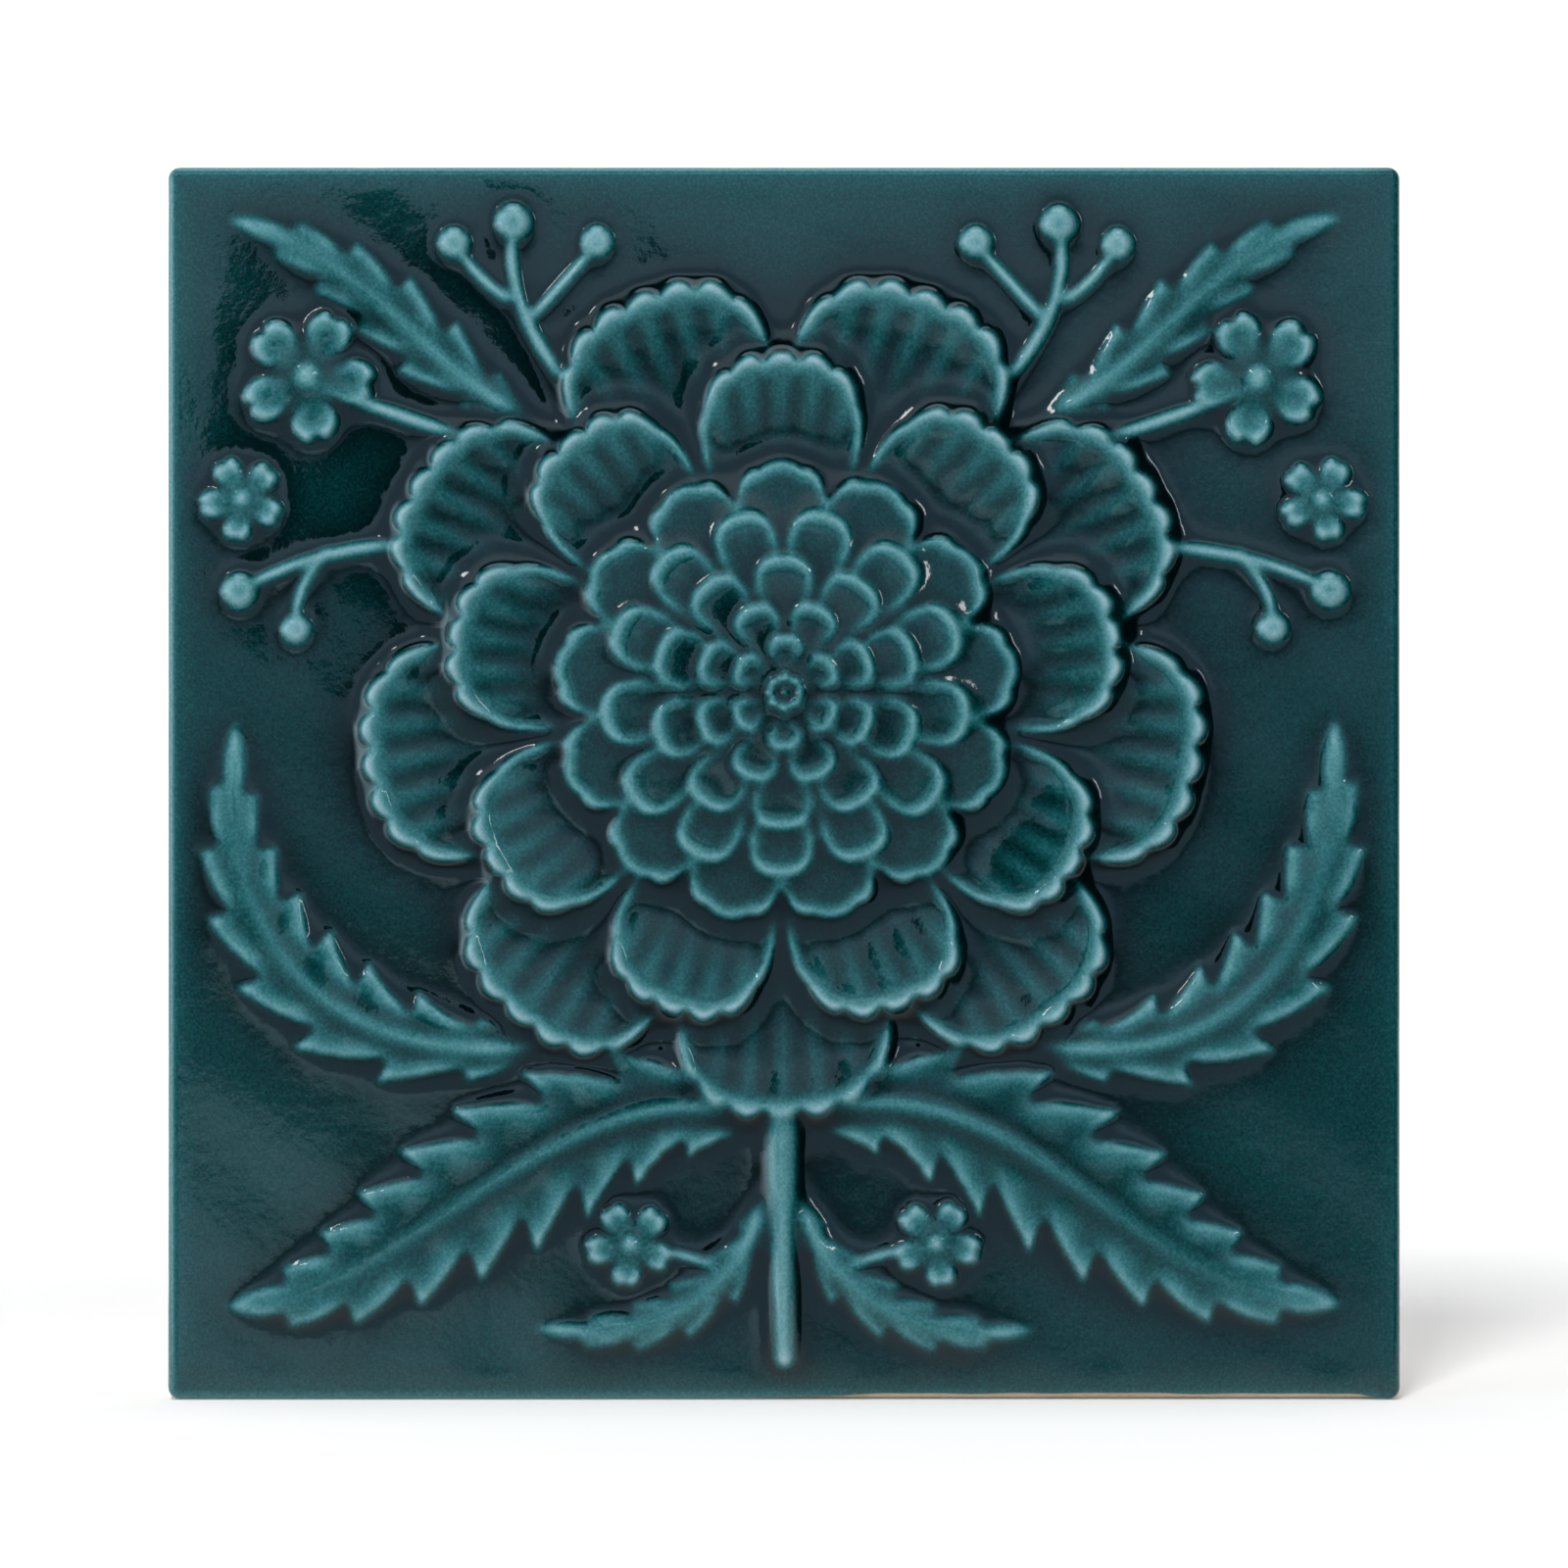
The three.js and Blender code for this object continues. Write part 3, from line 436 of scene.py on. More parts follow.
@dataclass(frozen=True)
class Blossom(Form):
    """A small five-petalled blossom."""

    at: Point
    reach: float
    turn: float
    rise: float
    petals: int = 5
    eye: float = 0.25
    eye_rise: float = 1.15
    cleft: float = 0.7
    crease: float = 0.3
    waist: float = 0.42
    notch: float = 0.1

    def box(self) -> Box:
        """The square round the blossom."""
        return square(*self.at, self.reach)

    def height(self, x: np.ndarray, z: np.ndarray) -> np.ndarray:
        """Notched petals with clefts between them, round a raised eye."""
        over, up = x - self.at[0], z - self.at[1]
        radius = np.hypot(over, up)
        swing = self.petals * (np.arctan2(up, over) + self.turn) / 2
        open_share = np.abs(np.cos(swing))
        margin = self.reach * mix(self.waist, 1, open_share**0.55)
        margin = margin * (1 - self.notch * bell(np.sin(swing) / 0.22))
        depth = margin - radius
        petal = self.rise * (0.55 + 0.35 * radius / self.reach) + 0.4 * bell((depth - 0.9) / 0.9)
        cleft = self.cleft * bell(open_share / 0.35) * ramp(0.15, 0.5, radius / self.reach)
        crease = self.crease * bell(np.sin(swing) / 0.12) * ramp(0.25, 0.6, radius / self.reach)
        eye = self.eye_rise * self.rise * dome(radius / (self.eye * self.reach))
        return np.maximum((petal - cleft - crease) * self.slope(depth), eye)


class Relief:
    """The whole relief: a domed bloom, and foliage that mirrors to the left."""

    bloom_middle = 11.0
    drift = 0.35
    drift_lengths = (9.1, 7.6, 12.3)
    softness = 0.32

    def __init__(self) -> None:
        """Sets out the forms, each in millimetres from the middle of the tile."""
        middle = self.bloom_middle
        heart = Heart(middle)
        self.bloom: list[Form] = [
            Whorl(middle, 9, 0.5, 22, 53, 0.405, 9, 1.1, 1.0, 1.5, floor=0.5, lip=1.7, flute=0.45),
            Whorl(middle, 9, 0.0, 20, 42.5, 0.37, 7, 1.0, 1.0, 1.4, floor=0.9, lip=2.8, flute=0.4),
            Floret(middle, 13, 0.0, 15, 29.5, 0.3, 3, 0.8, 0.85, 1.2, heart=heart),
            Floret(middle, 13, 0.5, 11, 23.5, 0.27, 1, 0.0, 0.8, 1.1, heart=heart),
            Floret(middle, 10, 0.0, 7.5, 17.6, 0.35, 1, 0.0, 0.75, 1.0, heart=heart),
            Floret(middle, 8, 0.5, 4.4, 12.2, 0.43, 1, 0.0, 0.7, 0.9, heart=heart),
            Floret(middle, 6, 0.0, 1.6, 7.8, 0.58, 1, 0.0, 0.65, 0.8, heart=heart),
            heart,
        ]
        self.foliage: list[Form] = [
            Leaf(Line((2, -41), (31, -32), (44, -66), (69, -64)), 10.5, 9, 0.42, 1.8),
            Leaf(Line((30, -32), (54, -36), (71, -22), (67.5, 8)), 7.2, 8, 0.42, 1.7),
            Leaf(Line((31, 45), (45, 51), (50, 64), (69, 69.5)), 5.2, 6, 0.4, 1.5),
            Leaf(Line((2, -50), (4, -60), (14, -70.5), (31, -67)), 4.0, 6, 0.4, 1.5),
            Stem(Line((0, -40.5), (0, -55), (0, -71)), 2.4, 1.5, 2.2),
            Stem(Line((34, 41), (47, 45), (58, 49)), 1.4, 1.0, 1.5),
            Stem(Line((28, 51), (35, 60), (33.5, 68)), 1.2, 0.9, 1.4),
            Stem(Line((32, 57), (28, 61), (23.5, 66)), 1.0, 0.8, 1.3),
            Stem(Line((34.5, 60), (38, 62), (40.5, 66)), 1.0, 0.8, 1.3),
            Stem(Line((46, 29), (57, 28.5), (66.5, 24)), 1.2, 0.9, 1.4),
            Stem(Line((56, 28), (60, 24), (60, 19.5)), 1.0, 0.8, 1.3),
            Stem(Line((6, -60.5), (12, -57.5), (18, -57)), 1.0, 0.8, 1.3),
            Berry((33.5, 69), 2.5, 2.2),
            Berry((23.2, 66.6), 2.2, 2.0),
            Berry((40.8, 66.4), 2.2, 2.0),
            Berry((67, 23.6), 2.5, 2.2),
            Berry((60, 18.8), 2.1, 2.0),
            Blossom((58.5, 50), 9.0, 0.5, 1.8),
            Blossom((66.4, 35), 6.0, 1.4, 1.6),
            Blossom((19, -56.5), 6.2, 0.2, 1.6),
        ]

    def drifted(self, x: np.ndarray, z: np.ndarray, phase: float) -> np.ndarray:
        """The small slow drift that a hand-cut mould has.

        Args:
            x: Where the samples lie across the face.
            z: Where they lie up the face.
            phase: Sets one drift apart from another.

        Returns:
            A shift for each sample, in millimetres.
        """
        across, upward, slanting = self.drift_lengths
        waves = (
            np.sin(x / across + phase)
            + np.sin(z / upward + 2 * phase)
            + np.sin((x + z) / slanting + 3 * phase)
        )
        return self.drift / 2 * waves

    def height(self, x: np.ndarray, z: np.ndarray) -> np.ndarray:
        """The clay's height over the flat ground at each sample."""
        over = x + self.drifted(x, z, 1.3)
        up = z + self.drifted(x, z, 4.1)
        height = np.zeros_like(x)
        for forms, across in ((self.bloom, over), (self.foliage, np.abs(over))):
            for form in forms:
                left, right, low, high = form.box()
                near = (across >= left) & (across <= right) & (up >= low) & (up <= high)
                height[near] = np.maximum(height[near], form.height(across[near], up[near]))
        return height


class FaceGrid:
    """Samples of the clay and of the glaze over the face, inside the arris.

    The glaze lies as a film on the ridges and levels out in pools between them. Its tint is the depth of
    glaze that its colour is gathered from: colour drifts with the melt, so it spreads wider than the pools.
    """

    levels = 9
    film = 0.15
    least_film = 0.8
    coat = 0.42
    flood = 0.85
    shore = 0.3
    level_spread = 1.9
    level_reach = 1.4
    meniscus = 0.4
    surface_softness = 0.33
    edge_calm = 3.0
    swell = 0.02
    swell_lengths = (2.3, 2.9, 4.1)
    tint_film = 0.06
    tint_ground = 0.6
    tint_crown = 0.27
    tint_hollow = 1.0
    ridge_share = 0.66
    ridge_spread = 0.9
    ridge_reach = 0.8
    near_spread = 2.0
    far_spread = 5.0
    near_share = 0.6
    tint_meniscus = 0.14
    tint_rim = 0.2
    # painted shade: the glaze's tint is deepened towards the right-hand edge, which gets little light
    right_rim_painted_shade = 0.42
    painted_shade_right_from = 0.93
    rim_reach = 2.2
    sunk = 0.1

    def __init__(self, slab: Slab, relief: Relief) -> None:
        """Samples the relief and lets the glaze settle on it.

        Args:
            slab: The body's sizes.
            relief: The relief that is moulded on its face.
        """
        self.slab = slab
        self.cells = 2**self.levels
        half_x, half_z = slab.face_half
        across = np.linspace(-half_x, half_x, self.cells + 1)
        upward = np.linspace(-half_z, half_z, self.cells + 1)
        self.x, self.z = np.meshgrid(across, upward)
        self.steps = (across[1] - across[0], upward[1] - upward[0])
        self.clay = self.blur(relief.height(self.x, self.z), relief.softness)
        self.kept = ramp(slab.arris, slab.arris + self.edge_calm, self.from_edge())
        self.glaze = self.settle()
        self.tint = self.gather()

    def blur(self, values: np.ndarray, spread: float, reach: float = math.inf) -> np.ndarray:
        """A weighted running mean, the same each way.

        Args:
            values: One value for each sample.
            spread: The width of the mean, in millimetres.
            reach: How much higher or lower than a sample a neighbour may count, so that steps stay.

        Returns:
            The smoothed values.
        """
        for axis, step in ((1, self.steps[0]), (0, self.steps[1])):
            taps = max(1, math.ceil(3 * spread / step))
            weights = bell(np.arange(-taps, taps + 1) * step / (spread * math.sqrt(2)))
            padding = [(0, 0), (0, 0)]
            padding[axis] = (taps, taps)
            padded = np.pad(values, padding, mode="edge")
            count = values.shape[axis]
            values = values + sum(
                weight / weights.sum()
                * np.clip(np.take(padded, range(tap, tap + count), axis=axis) - values, -reach, reach)
                for tap, weight in enumerate(weights)
            )
        return values

    def from_edge(self) -> np.ndarray:
        """How far each sample lies from the tile's outline."""
        half_x, half_z = self.slab.half_width, self.slab.half_height
        return np.minimum(half_x - np.abs(self.x), half_z - np.abs(self.z))

    def settle(self) -> np.ndarray:
        """The height of the glaze over the flat ground."""
        level = self.blur(self.clay, self.level_spread, self.level_reach) + self.coat
        surface = soft_max(level, self.clay + self.film, self.meniscus)
        surface = soft_max(surface, np.full_like(surface, self.flood), self.shore)
        surface = self.blur(surface, self.surface_softness)
        surface = np.maximum(surface, self.clay + self.least_film * self.film)
        across, upward, lean = self.swell_lengths
        waves = np.sin(self.x / across + 0.7) + np.sin(self.z / upward + self.x / lean)
        surface = surface + self.swell * waves
        return self.clay + mix(self.flood, surface - self.clay, self.kept)

    def gather(self) -> np.ndarray:
        """The depth of glaze that each sample's colour is gathered from."""
        near, far = self.blur(self.clay, self.near_spread), self.blur(self.clay, self.far_spread)
        hollow = mix(far, near, self.near_share) - self.clay
        bound = np.where(hollow > 0, self.tint_hollow, self.tint_crown)
        ridge = self.clay - self.blur(self.clay, self.ridge_spread, self.ridge_reach)
        tint = self.tint_ground + bound * np.tanh(hollow / bound) - self.ridge_share * ridge
        tint = soft_max(tint, np.full_like(tint, self.tint_film), self.tint_meniscus)
        plain = self.rim_tint_and_right_shade(self.from_edge(), self.x)
        return mix(plain, self.blur(tint, self.surface_softness), self.kept)

    def rim_tint_and_right_shade(self, distance: np.ndarray, x: np.ndarray) -> np.ndarray:
        """The tint of the plain glaze, with painted shade that deepens it towards the right-hand edge.

        Args:
            distance: How far in from the tile's outline. The glaze runs thin close to it.
            x: Where across the tile. Towards the right-hand edge the tint deepens: painted shade, as that
                edge gets little light.

        Returns:
            The depth of glaze that the colour is gathered from.
        """
        half = self.slab.half_width
        # Painted shade: the tint is deeper towards the right-hand edge.
        rim = mix(self.tint_rim, self.right_rim_painted_shade, ramp(self.painted_shade_right_from * half, half, x))
        return mix(rim, self.tint_ground, ramp(-0.1, self.rim_reach, distance))

    def normals(self, heights: np.ndarray) -> np.ndarray:
        """The way out from a surface over the ground, for each sample."""
        rise_z, rise_x = np.gradient(heights, self.steps[1], self.steps[0])
        ways = np.stack([-rise_x, -np.ones_like(heights), -rise_z], axis=-1)
        return ways / np.linalg.norm(ways, axis=-1, keepdims=True)


class Net:
    """Facets over the face's samples, halved again and again where a surface bends, and large elsewhere."""

    coarsest_level = 12

    def __init__(self, grid: FaceGrid, surfaces: list[tuple[np.ndarray, float]], tolerance: float) -> None:
        """Halves the facets until they follow the surfaces.

        Args:
            grid: The samples that the facets' corners are taken from.
            surfaces: The sampled surfaces to follow, each with the weight of its error.
            tolerance: The error that a facet may keep, in millimetres.
        """
        self.grid = grid
        self.surfaces = [(values.ravel(), weight) for values, weight in surfaces]
        side = grid.cells + 1
        last = side * side - 1
        roots = np.array([[0, last, grid.cells], [last, 0, last - grid.cells]])
        errors = self.errors(roots)
        kept = []
        facets = roots
        for _ in range(2 * grid.levels):
            bent = errors[(facets[:, 0] + facets[:, 1]) // 2] > tolerance
            kept.append(facets[~bent])
            facets = self.halves(facets[bent])
        kept.append(facets)
        used, indices = np.unique(np.concatenate(kept)[:, ::-1], return_inverse=True)
        self.samples = used
        self.facets = indices.reshape(-1, 3)
        self.rows, self.columns = np.divmod(used, side)

    @staticmethod
    def halves(facets: np.ndarray) -> np.ndarray:
        """Cuts each right-angled facet from its corner to the middle of its long side."""
        first, second, corner = facets.T
        middle = (first + second) // 2
        left = np.stack([corner, first, middle], axis=1)
        right = np.stack([second, corner, middle], axis=1)
        return np.concatenate([left, right])

    def errors(self, roots: np.ndarray) -> np.ndarray:
        """The error that each sample would leave if it were no corner, never less than its finer neighbours'.

        Args:
            roots: The two facets that cover the face.

        Returns:
            One error for each sample.
        """
        generations = [roots]
        for _ in range(2 * self.grid.levels - 1):
            generations.append(self.halves(generations[-1]))
        errors = np.zeros(self.surfaces[0][0].size)
        for level in reversed(range(len(generations))):
            first, second, corner = generations[level].T
            middle = (first + second) // 2
            found = np.zeros(len(middle))
            for values, weight in self.surfaces:
                bend = values[middle] - (values[first] + values[second]) / 2
                found = np.maximum(found, weight * np.abs(bend))
            if level + 1 < len(generations):
                found = np.maximum(found, errors[(first + corner) // 2])
                found = np.maximum(found, errors[(second + corner) // 2])
            if level < self.coarsest_level:
                found[:] = np.inf
            np.maximum.at(errors, middle, found)
        return errors

    def face_points(self, heights: np.ndarray) -> np.ndarray:
        """Where the corners lie on a surface that has these heights over the ground."""
        grid = self.grid
        x, z = grid.x.ravel()[self.samples], grid.z.ravel()[self.samples]
        return placed(x, grid.slab.ground - heights.ravel()[self.samples], z, grid.slab)

    def border(self) -> Loop:
        """The corners on the face's edge, counter-clockwise from the lower left.

        Returns:
            Their numbers, and how far round each one lies, with a whole number for each side.
        """
        top = self.grid.cells
        share_x, share_z = self.columns / top, self.rows / top
        round_edge = np.select(
            [self.rows == 0, self.columns == top, self.rows == top, self.columns == 0],
            [share_x, 1 + share_z, 3 - share_x, 4 - share_z],
            default=-1.0,
        )
        on_edge = np.flatnonzero(round_edge >= 0)
        order = on_edge[np.argsort(round_edge[on_edge])]
        return order, round_edge[order]


class EdgeLoop:
    """Evenly spaced stations round a rectangle, with a fan of directions at each corner.

    The stations of one fan lie fan_share apart in all, so that two loops join corner by corner.
    """

    fan_share = 0.001

    def __init__(self, half_x: float, half_z: float, pitch: float, fan: int) -> None:
        """Sets out the stations counter-clockwise from the lower left corner.

        Args:
            half_x: Half the rectangle's width.
            half_z: Half its height.
            pitch: The spacing along the sides.
            fan: How many directions each corner has.
        """
        corners = [(-half_x, -half_z), (half_x, -half_z), (half_x, half_z), (-half_x, half_z)]
        places, ways, stations = [], [], []
        for side, corner in enumerate(corners):
            for step in range(fan):
                angle = math.pi + TAU / 4 * (side + step / (fan - 1))
                places.append(corner)
                ways.append((math.cos(angle), math.sin(angle)))
                stations.append(side + self.fan_share * step / (fan - 1))
            following = corners[(side + 1) % 4]
            count = round(math.dist(corner, following) / pitch)
            for step in range(1, count):
                places.append(tuple(mix(np.array(corner), np.array(following), step / count)))
                ways.append((math.cos(angle), math.sin(angle)))
                stations.append(side + step / count)
        self.places = np.array(places)
        self.ways = np.array(ways)
        self.stations = np.array(stations)

    def offset(self, reach: np.ndarray | float, y: np.ndarray | float) -> np.ndarray:
        """The stations moved outwards by a reach, at a depth y, in millimetres."""
        moved = self.places + self.ways * np.reshape(reach, (-1, 1))
        return np.stack([moved[:, 0], np.broadcast_to(y, len(moved)), moved[:, 1]], axis=1)

    def tilted(self, angle: np.ndarray | float) -> np.ndarray:
        """Directions between the face's own, at angle 0, and straight out of the side."""
        sine = np.reshape(np.sin(angle), (-1, 1)) * np.ones((len(self.ways), 1))
        forward = -np.cos(angle) * np.ones(len(self.ways))
        return np.stack([self.ways[:, 0] * sine[:, 0], forward, self.ways[:, 1] * sine[:, 0]], axis=1)

    def uneven(self, waves: tuple[tuple[int, float], ...]) -> np.ndarray:
        """A value from -1 to 1 that wanders round the loop and closes on itself.

        Args:
            waves: How often each wave turns on the way round, and where it starts.

        Returns:
            One value for each station.
        """
        turns = self.stations / 4 * TAU
        return sum(np.sin(count * turns + start) for count, start in waves) / len(waves)


class Skin:
    """Gathers the corners and facets of one closed mesh, in millimetres."""

    def __init__(self) -> None:
        """Starts an empty skin."""
        self.points: list[np.ndarray] = []
        self.normals: list[np.ndarray] = []
        self.values: list[np.ndarray] = []
        self.facets: list[np.ndarray] = []
        self.size = 0

    def add(self, points: np.ndarray, normals: np.ndarray, value: np.ndarray | float) -> np.ndarray:
        """Adds corners.

        Args:
            points: Where they lie.
            normals: The way out of the surface at each.
            value: What the piece's attribute holds there.

        Returns:
            Their numbers in the skin.
        """
        self.points.append(points)
        self.normals.append(np.broadcast_to(normals, points.shape))
        self.values.append(np.broadcast_to(value, len(points)))
        self.size += len(points)
        return np.arange(self.size - len(points), self.size)

    def cover(self, corners: np.ndarray, facets: np.ndarray, outward: bool) -> None:
        """Adds facets that run counter-clockwise seen from the front, turned round if not outward."""
        made = corners[facets]
        self.facets.append(made if outward else made[:, ::-1])

    def join(self, near: Loop, far: Loop, outward: bool) -> None:
        """Closes the gap between two loops that run the same way round.

        Args:
            near: The corners' numbers on the loop nearer the face's middle, and how far round each lies.
            far: The same for the loop beyond it.
            outward: Whether the strip looks out of the piece on the side of the face.
        """
        near_corners, near_at = np.append(near[0], near[0][0]), np.append(near[1], 4.0)
        far_corners, far_at = np.append(far[0], far[0][0]), np.append(far[1], 4.0)
        made = []
        i = j = 0
        while i < len(near[0]) or j < len(far[0]):
            far_next = j < len(far[0]) and (i == len(near[0]) or far_at[j + 1] <= near_at[i + 1])
            if far_next:
                made.append((near_corners[i], far_corners[j], far_corners[j + 1]))
                j += 1
            else:
                made.append((near_corners[i], far_corners[j], near_corners[i + 1]))
                i += 1
        strip = np.array(made)
        self.facets.append(strip if outward else strip[:, ::-1])

    def mesh(self, name: str, attribute: str) -> bpy.types.Mesh:
        """Makes the mesh in metres, with the body's attribute on its corners.

        Args:
            name: The mesh's name.
            attribute: The name under which the gathered values are kept.

        Returns:
            The mesh.
        """
        points = np.concatenate(self.points) * MM
        facets = np.concatenate(self.facets)
        mesh = bpy.data.meshes.new(name)
        mesh.from_pydata(points.tolist(), [], facets.tolist())
        kept = mesh.attributes.new(attribute, "FLOAT", "POINT")
        kept.data.foreach_set("value", np.concatenate(self.values).astype(np.float32))
        mesh.shade_smooth()
        return mesh


def placed(points_x: np.ndarray, y: np.ndarray | float, points_z: np.ndarray, slab: Slab) -> np.ndarray:
    """Points of the tile from their places on the face, measured from its middle."""
    height = points_z + slab.half_height
    return np.stack([points_x, np.broadcast_to(y, points_x.shape), height], axis=-1)


class Nodes:
    """A short way to place and wire the nodes of one tree."""

    def __init__(self, tree: bpy.types.NodeTree) -> None:
        """Takes the tree to work in."""
        self.tree = tree

    def add(self, kind: str, inputs: dict | None = None, **settings: object) -> bpy.types.Node:
        """Places a node.

        Args:
            kind: The node's type.
            inputs: Values or sockets for its inputs, by name or number.
            settings: Its properties.

        Returns:
            The node.
        """
        node = self.tree.nodes.new(kind)
        for name, value in settings.items():
            setattr(node, name, value)
        for key, value in (inputs or {}).items():
            self.feed(node.inputs[key], value)
        return node

    def feed(self, socket: bpy.types.NodeSocket, value: object) -> None:
        """Wires a socket to another one, or sets its value."""
        if isinstance(value, bpy.types.NodeSocket):
            self.tree.links.new(value, socket)
        else:
            socket.default_value = value

    def math(self, operation: str, *values: object) -> bpy.types.NodeSocket:
        """The result of a sum on values or sockets."""
        kind = "ShaderNodeMath"
        return self.add(kind, dict(enumerate(values)), operation=operation).outputs[0]

    def blend(self, share: object, first: object, second: object) -> bpy.types.NodeSocket:
        """A colour between two, by a share."""
        inputs = {"Factor": share, 6: first, 7: second}
        return self.add("ShaderNodeMix", inputs, data_type="RGBA").outputs[2]

    def step(self, value: object, low: float, high: float) -> bpy.types.NodeSocket:
        """A smooth climb from 0 at low to 1 at high."""
        inputs = {"Value": value, "From Min": low, "From Max": high}
        return self.add("ShaderNodeMapRange", inputs, interpolation_type="SMOOTHSTEP").outputs["Result"]

    def finish(self, output: bpy.types.Node, bump: dict, look: dict) -> None:
        """Closes a solid finish.

        Args:
            output: The material's output node.
            bump: The inputs of its bump.
            look: The inputs of its shader, but for the normal.
        """
        normal = self.add("ShaderNodeBump", bump).outputs["Normal"]
        principled = self.add("ShaderNodeBsdfPrincipled", {**look, "Normal": normal})
        self.feed(output.inputs["Surface"], principled.outputs[0])


def node_group(kind: str, name: str, inputs: dict[str, object], output: Output) -> tuple[Nodes, dict, dict]:
    """Starts a node group.

    Args:
        kind: The type of tree.
        name: The group's name.
        inputs: For each input its value, if it is a number, or else its type.
        output: The output's label and its type.

    Returns:
        The desk to build on, the sockets that come in, and those that go out.
    """
    tree = bpy.data.node_groups.new(name, kind)
    for label, given in inputs.items():
        numeric = not isinstance(given, str)
        socket_type = NUMBER_SOCKETS[type(given)] if numeric else given
        socket = tree.interface.new_socket(label, in_out="INPUT", socket_type=socket_type)
        if numeric:
            socket.default_value = given
    tree.interface.new_socket(output[0], in_out="OUTPUT", socket_type=output[1])
    nodes = Nodes(tree)
    come = nodes.add("NodeGroupInput").outputs
    leave = nodes.add("NodeGroupOutput").inputs
    return nodes, come, leave


class Effect(Enum):
    """The surface effects that more than one finish uses."""

    MOTTLE = "fired_mottle"
    PITS = "fired_pits"

    def build(self) -> bpy.types.NodeTree:
        """Makes the effect's group, or finds it where it is made already."""
        made = bpy.data.node_groups.get(self.value)
        if made:
            return made
        return build_mottle() if self is Effect.MOTTLE else build_pits()

    def use(self, nodes: Nodes, **inputs: object) -> bpy.types.NodeSocket:
        """Places the effect in a material with its own values.

        Args:
            nodes: The desk of the material.
            inputs: The group's inputs by name.

        Returns:
            The effect's value.
        """
        node = nodes.add("ShaderNodeGroup", node_tree=self.build())
        for name, value in inputs.items():
            nodes.feed(node.inputs[name], value)
        return node.outputs["Value"]


def build_mottle() -> bpy.types.NodeTree:
    """Cloudy unevenness round 0, as wide as the amount says."""
    given = {"Vector": "NodeSocketVector", "Scale": 1000.0, "Detail": 2.0, "Amount": 1.0}
    nodes, come, leave = node_group("ShaderNodeTree", Effect.MOTTLE.value, given, VALUE_OUTPUT)
    inputs = {label: come[label] for label in ("Vector", "Scale", "Detail")}
    noise = nodes.add("ShaderNodeTexNoise", inputs).outputs[0]
    centred = nodes.math("SUBTRACT", noise, 0.5)
    nodes.feed(leave["Value"], nodes.math("MULTIPLY", centred, come["Amount"]))
    return nodes.tree


def build_pits() -> bpy.types.NodeTree:
    """Small round pits, 1 in their middles and 0 between them. Share thins them out."""
    given = {"Vector": "NodeSocketVector", "Scale": 500.0, "Size": 0.2, "Share": 0.3}
    nodes, come, leave = node_group("ShaderNodeTree", Effect.PITS.value, given, VALUE_OUTPUT)
    cells = nodes.add("ShaderNodeTexVoronoi", {"Vector": come["Vector"], "Scale": come["Scale"]})
    chance = nodes.add("ShaderNodeSeparateColor", {0: cells.outputs["Color"]}).outputs[0]
    kept = nodes.math("LESS_THAN", chance, come["Share"])
    size = nodes.math("MULTIPLY", come["Size"], nodes.math("ADD", 0.4, chance))
    inside = nodes.math("SUBTRACT", 1.0, nodes.math("DIVIDE", cells.outputs["Distance"], size))
    pit = nodes.step(inside, 0.0, 0.6)
    nodes.feed(leave["Value"], nodes.math("MULTIPLY", pit, kept))
    return nodes.tree


def new_material(name: str) -> tuple[bpy.types.Material, Nodes, bpy.types.Node]:
    """Starts a material.

    Args:
        name: The material's name.

    Returns:
        The material, its desk and its output node.
    """
    material = bpy.data.materials.new(name)
    material.use_nodes = True
    material.node_tree.nodes.clear()
    nodes = Nodes(material.node_tree)
    return material, nodes, nodes.add("ShaderNodeOutputMaterial")


@dataclass(frozen=True)
class TealGlaze:
    """A clear, strongly coloured glaze over pale clay: pale where thin, and nearly black in its pools."""

    thin: Colour = (0.53, 0.57, 0.64)
    absorption: Colour = (10.0, 4.9, 4.95)
    deepest: Colour = (0.0004, 0.0022, 0.003)
    roughness: float = 0.05
    refraction: float = 1.45
    speckle: float = 0.8
    cloud: float = 0.16
    ripple: float = 0.7
    peel: float = 0.2
    bump_share: float = 0.35
    bump_height: float = 0.00006

    def material(self) -> bpy.types.Material:
        """Builds the glaze's material.

        Returns:
            The material, which reads how deep the glaze lies from an attribute, in millimetres.
        """
        material, nodes, output = new_material("teal_glaze")
        place = nodes.add("ShaderNodeTexCoord").outputs["Object"]
        depth = nodes.add("ShaderNodeAttribute", attribute_name=DEPTH_ATTRIBUTE).outputs["Fac"]
        speckle = Effect.MOTTLE.use(nodes, Vector=place, Scale=2600.0, Detail=2.0, Amount=self.speckle)
        cloud = Effect.MOTTLE.use(nodes, Vector=place, Scale=90.0, Detail=3.0, Amount=self.cloud)
        uneven = nodes.math("ADD", 1.0, nodes.math("ADD", speckle, cloud))
        path = nodes.math("MULTIPLY", depth, uneven)
        channels = []
        for thin, density, deepest in zip(self.thin, self.absorption, self.deepest):
            passed = nodes.math("EXPONENT", nodes.math("MULTIPLY", path, -density))
            channels.append(nodes.math("MULTIPLY_ADD", passed, thin, deepest))
        colour = nodes.add("ShaderNodeCombineColor", dict(enumerate(channels))).outputs[0]
        ripple = Effect.MOTTLE.use(nodes, Vector=place, Scale=420.0, Detail=1.0, Amount=self.ripple)
        peel = Effect.MOTTLE.use(nodes, Vector=place, Scale=1900.0, Detail=1.0, Amount=self.peel)
        pinholes = Effect.PITS.use(nodes, Vector=place, Scale=160.0, Size=0.035, Share=0.05)
        relief = nodes.math("SUBTRACT", nodes.math("ADD", ripple, peel), pinholes)
        bump = {"Strength": self.bump_share, "Distance": self.bump_height, "Height": relief}
        look = {"Base Color": colour, "Roughness": self.roughness, "IOR": self.refraction}
        nodes.finish(output, bump, look)
        return material


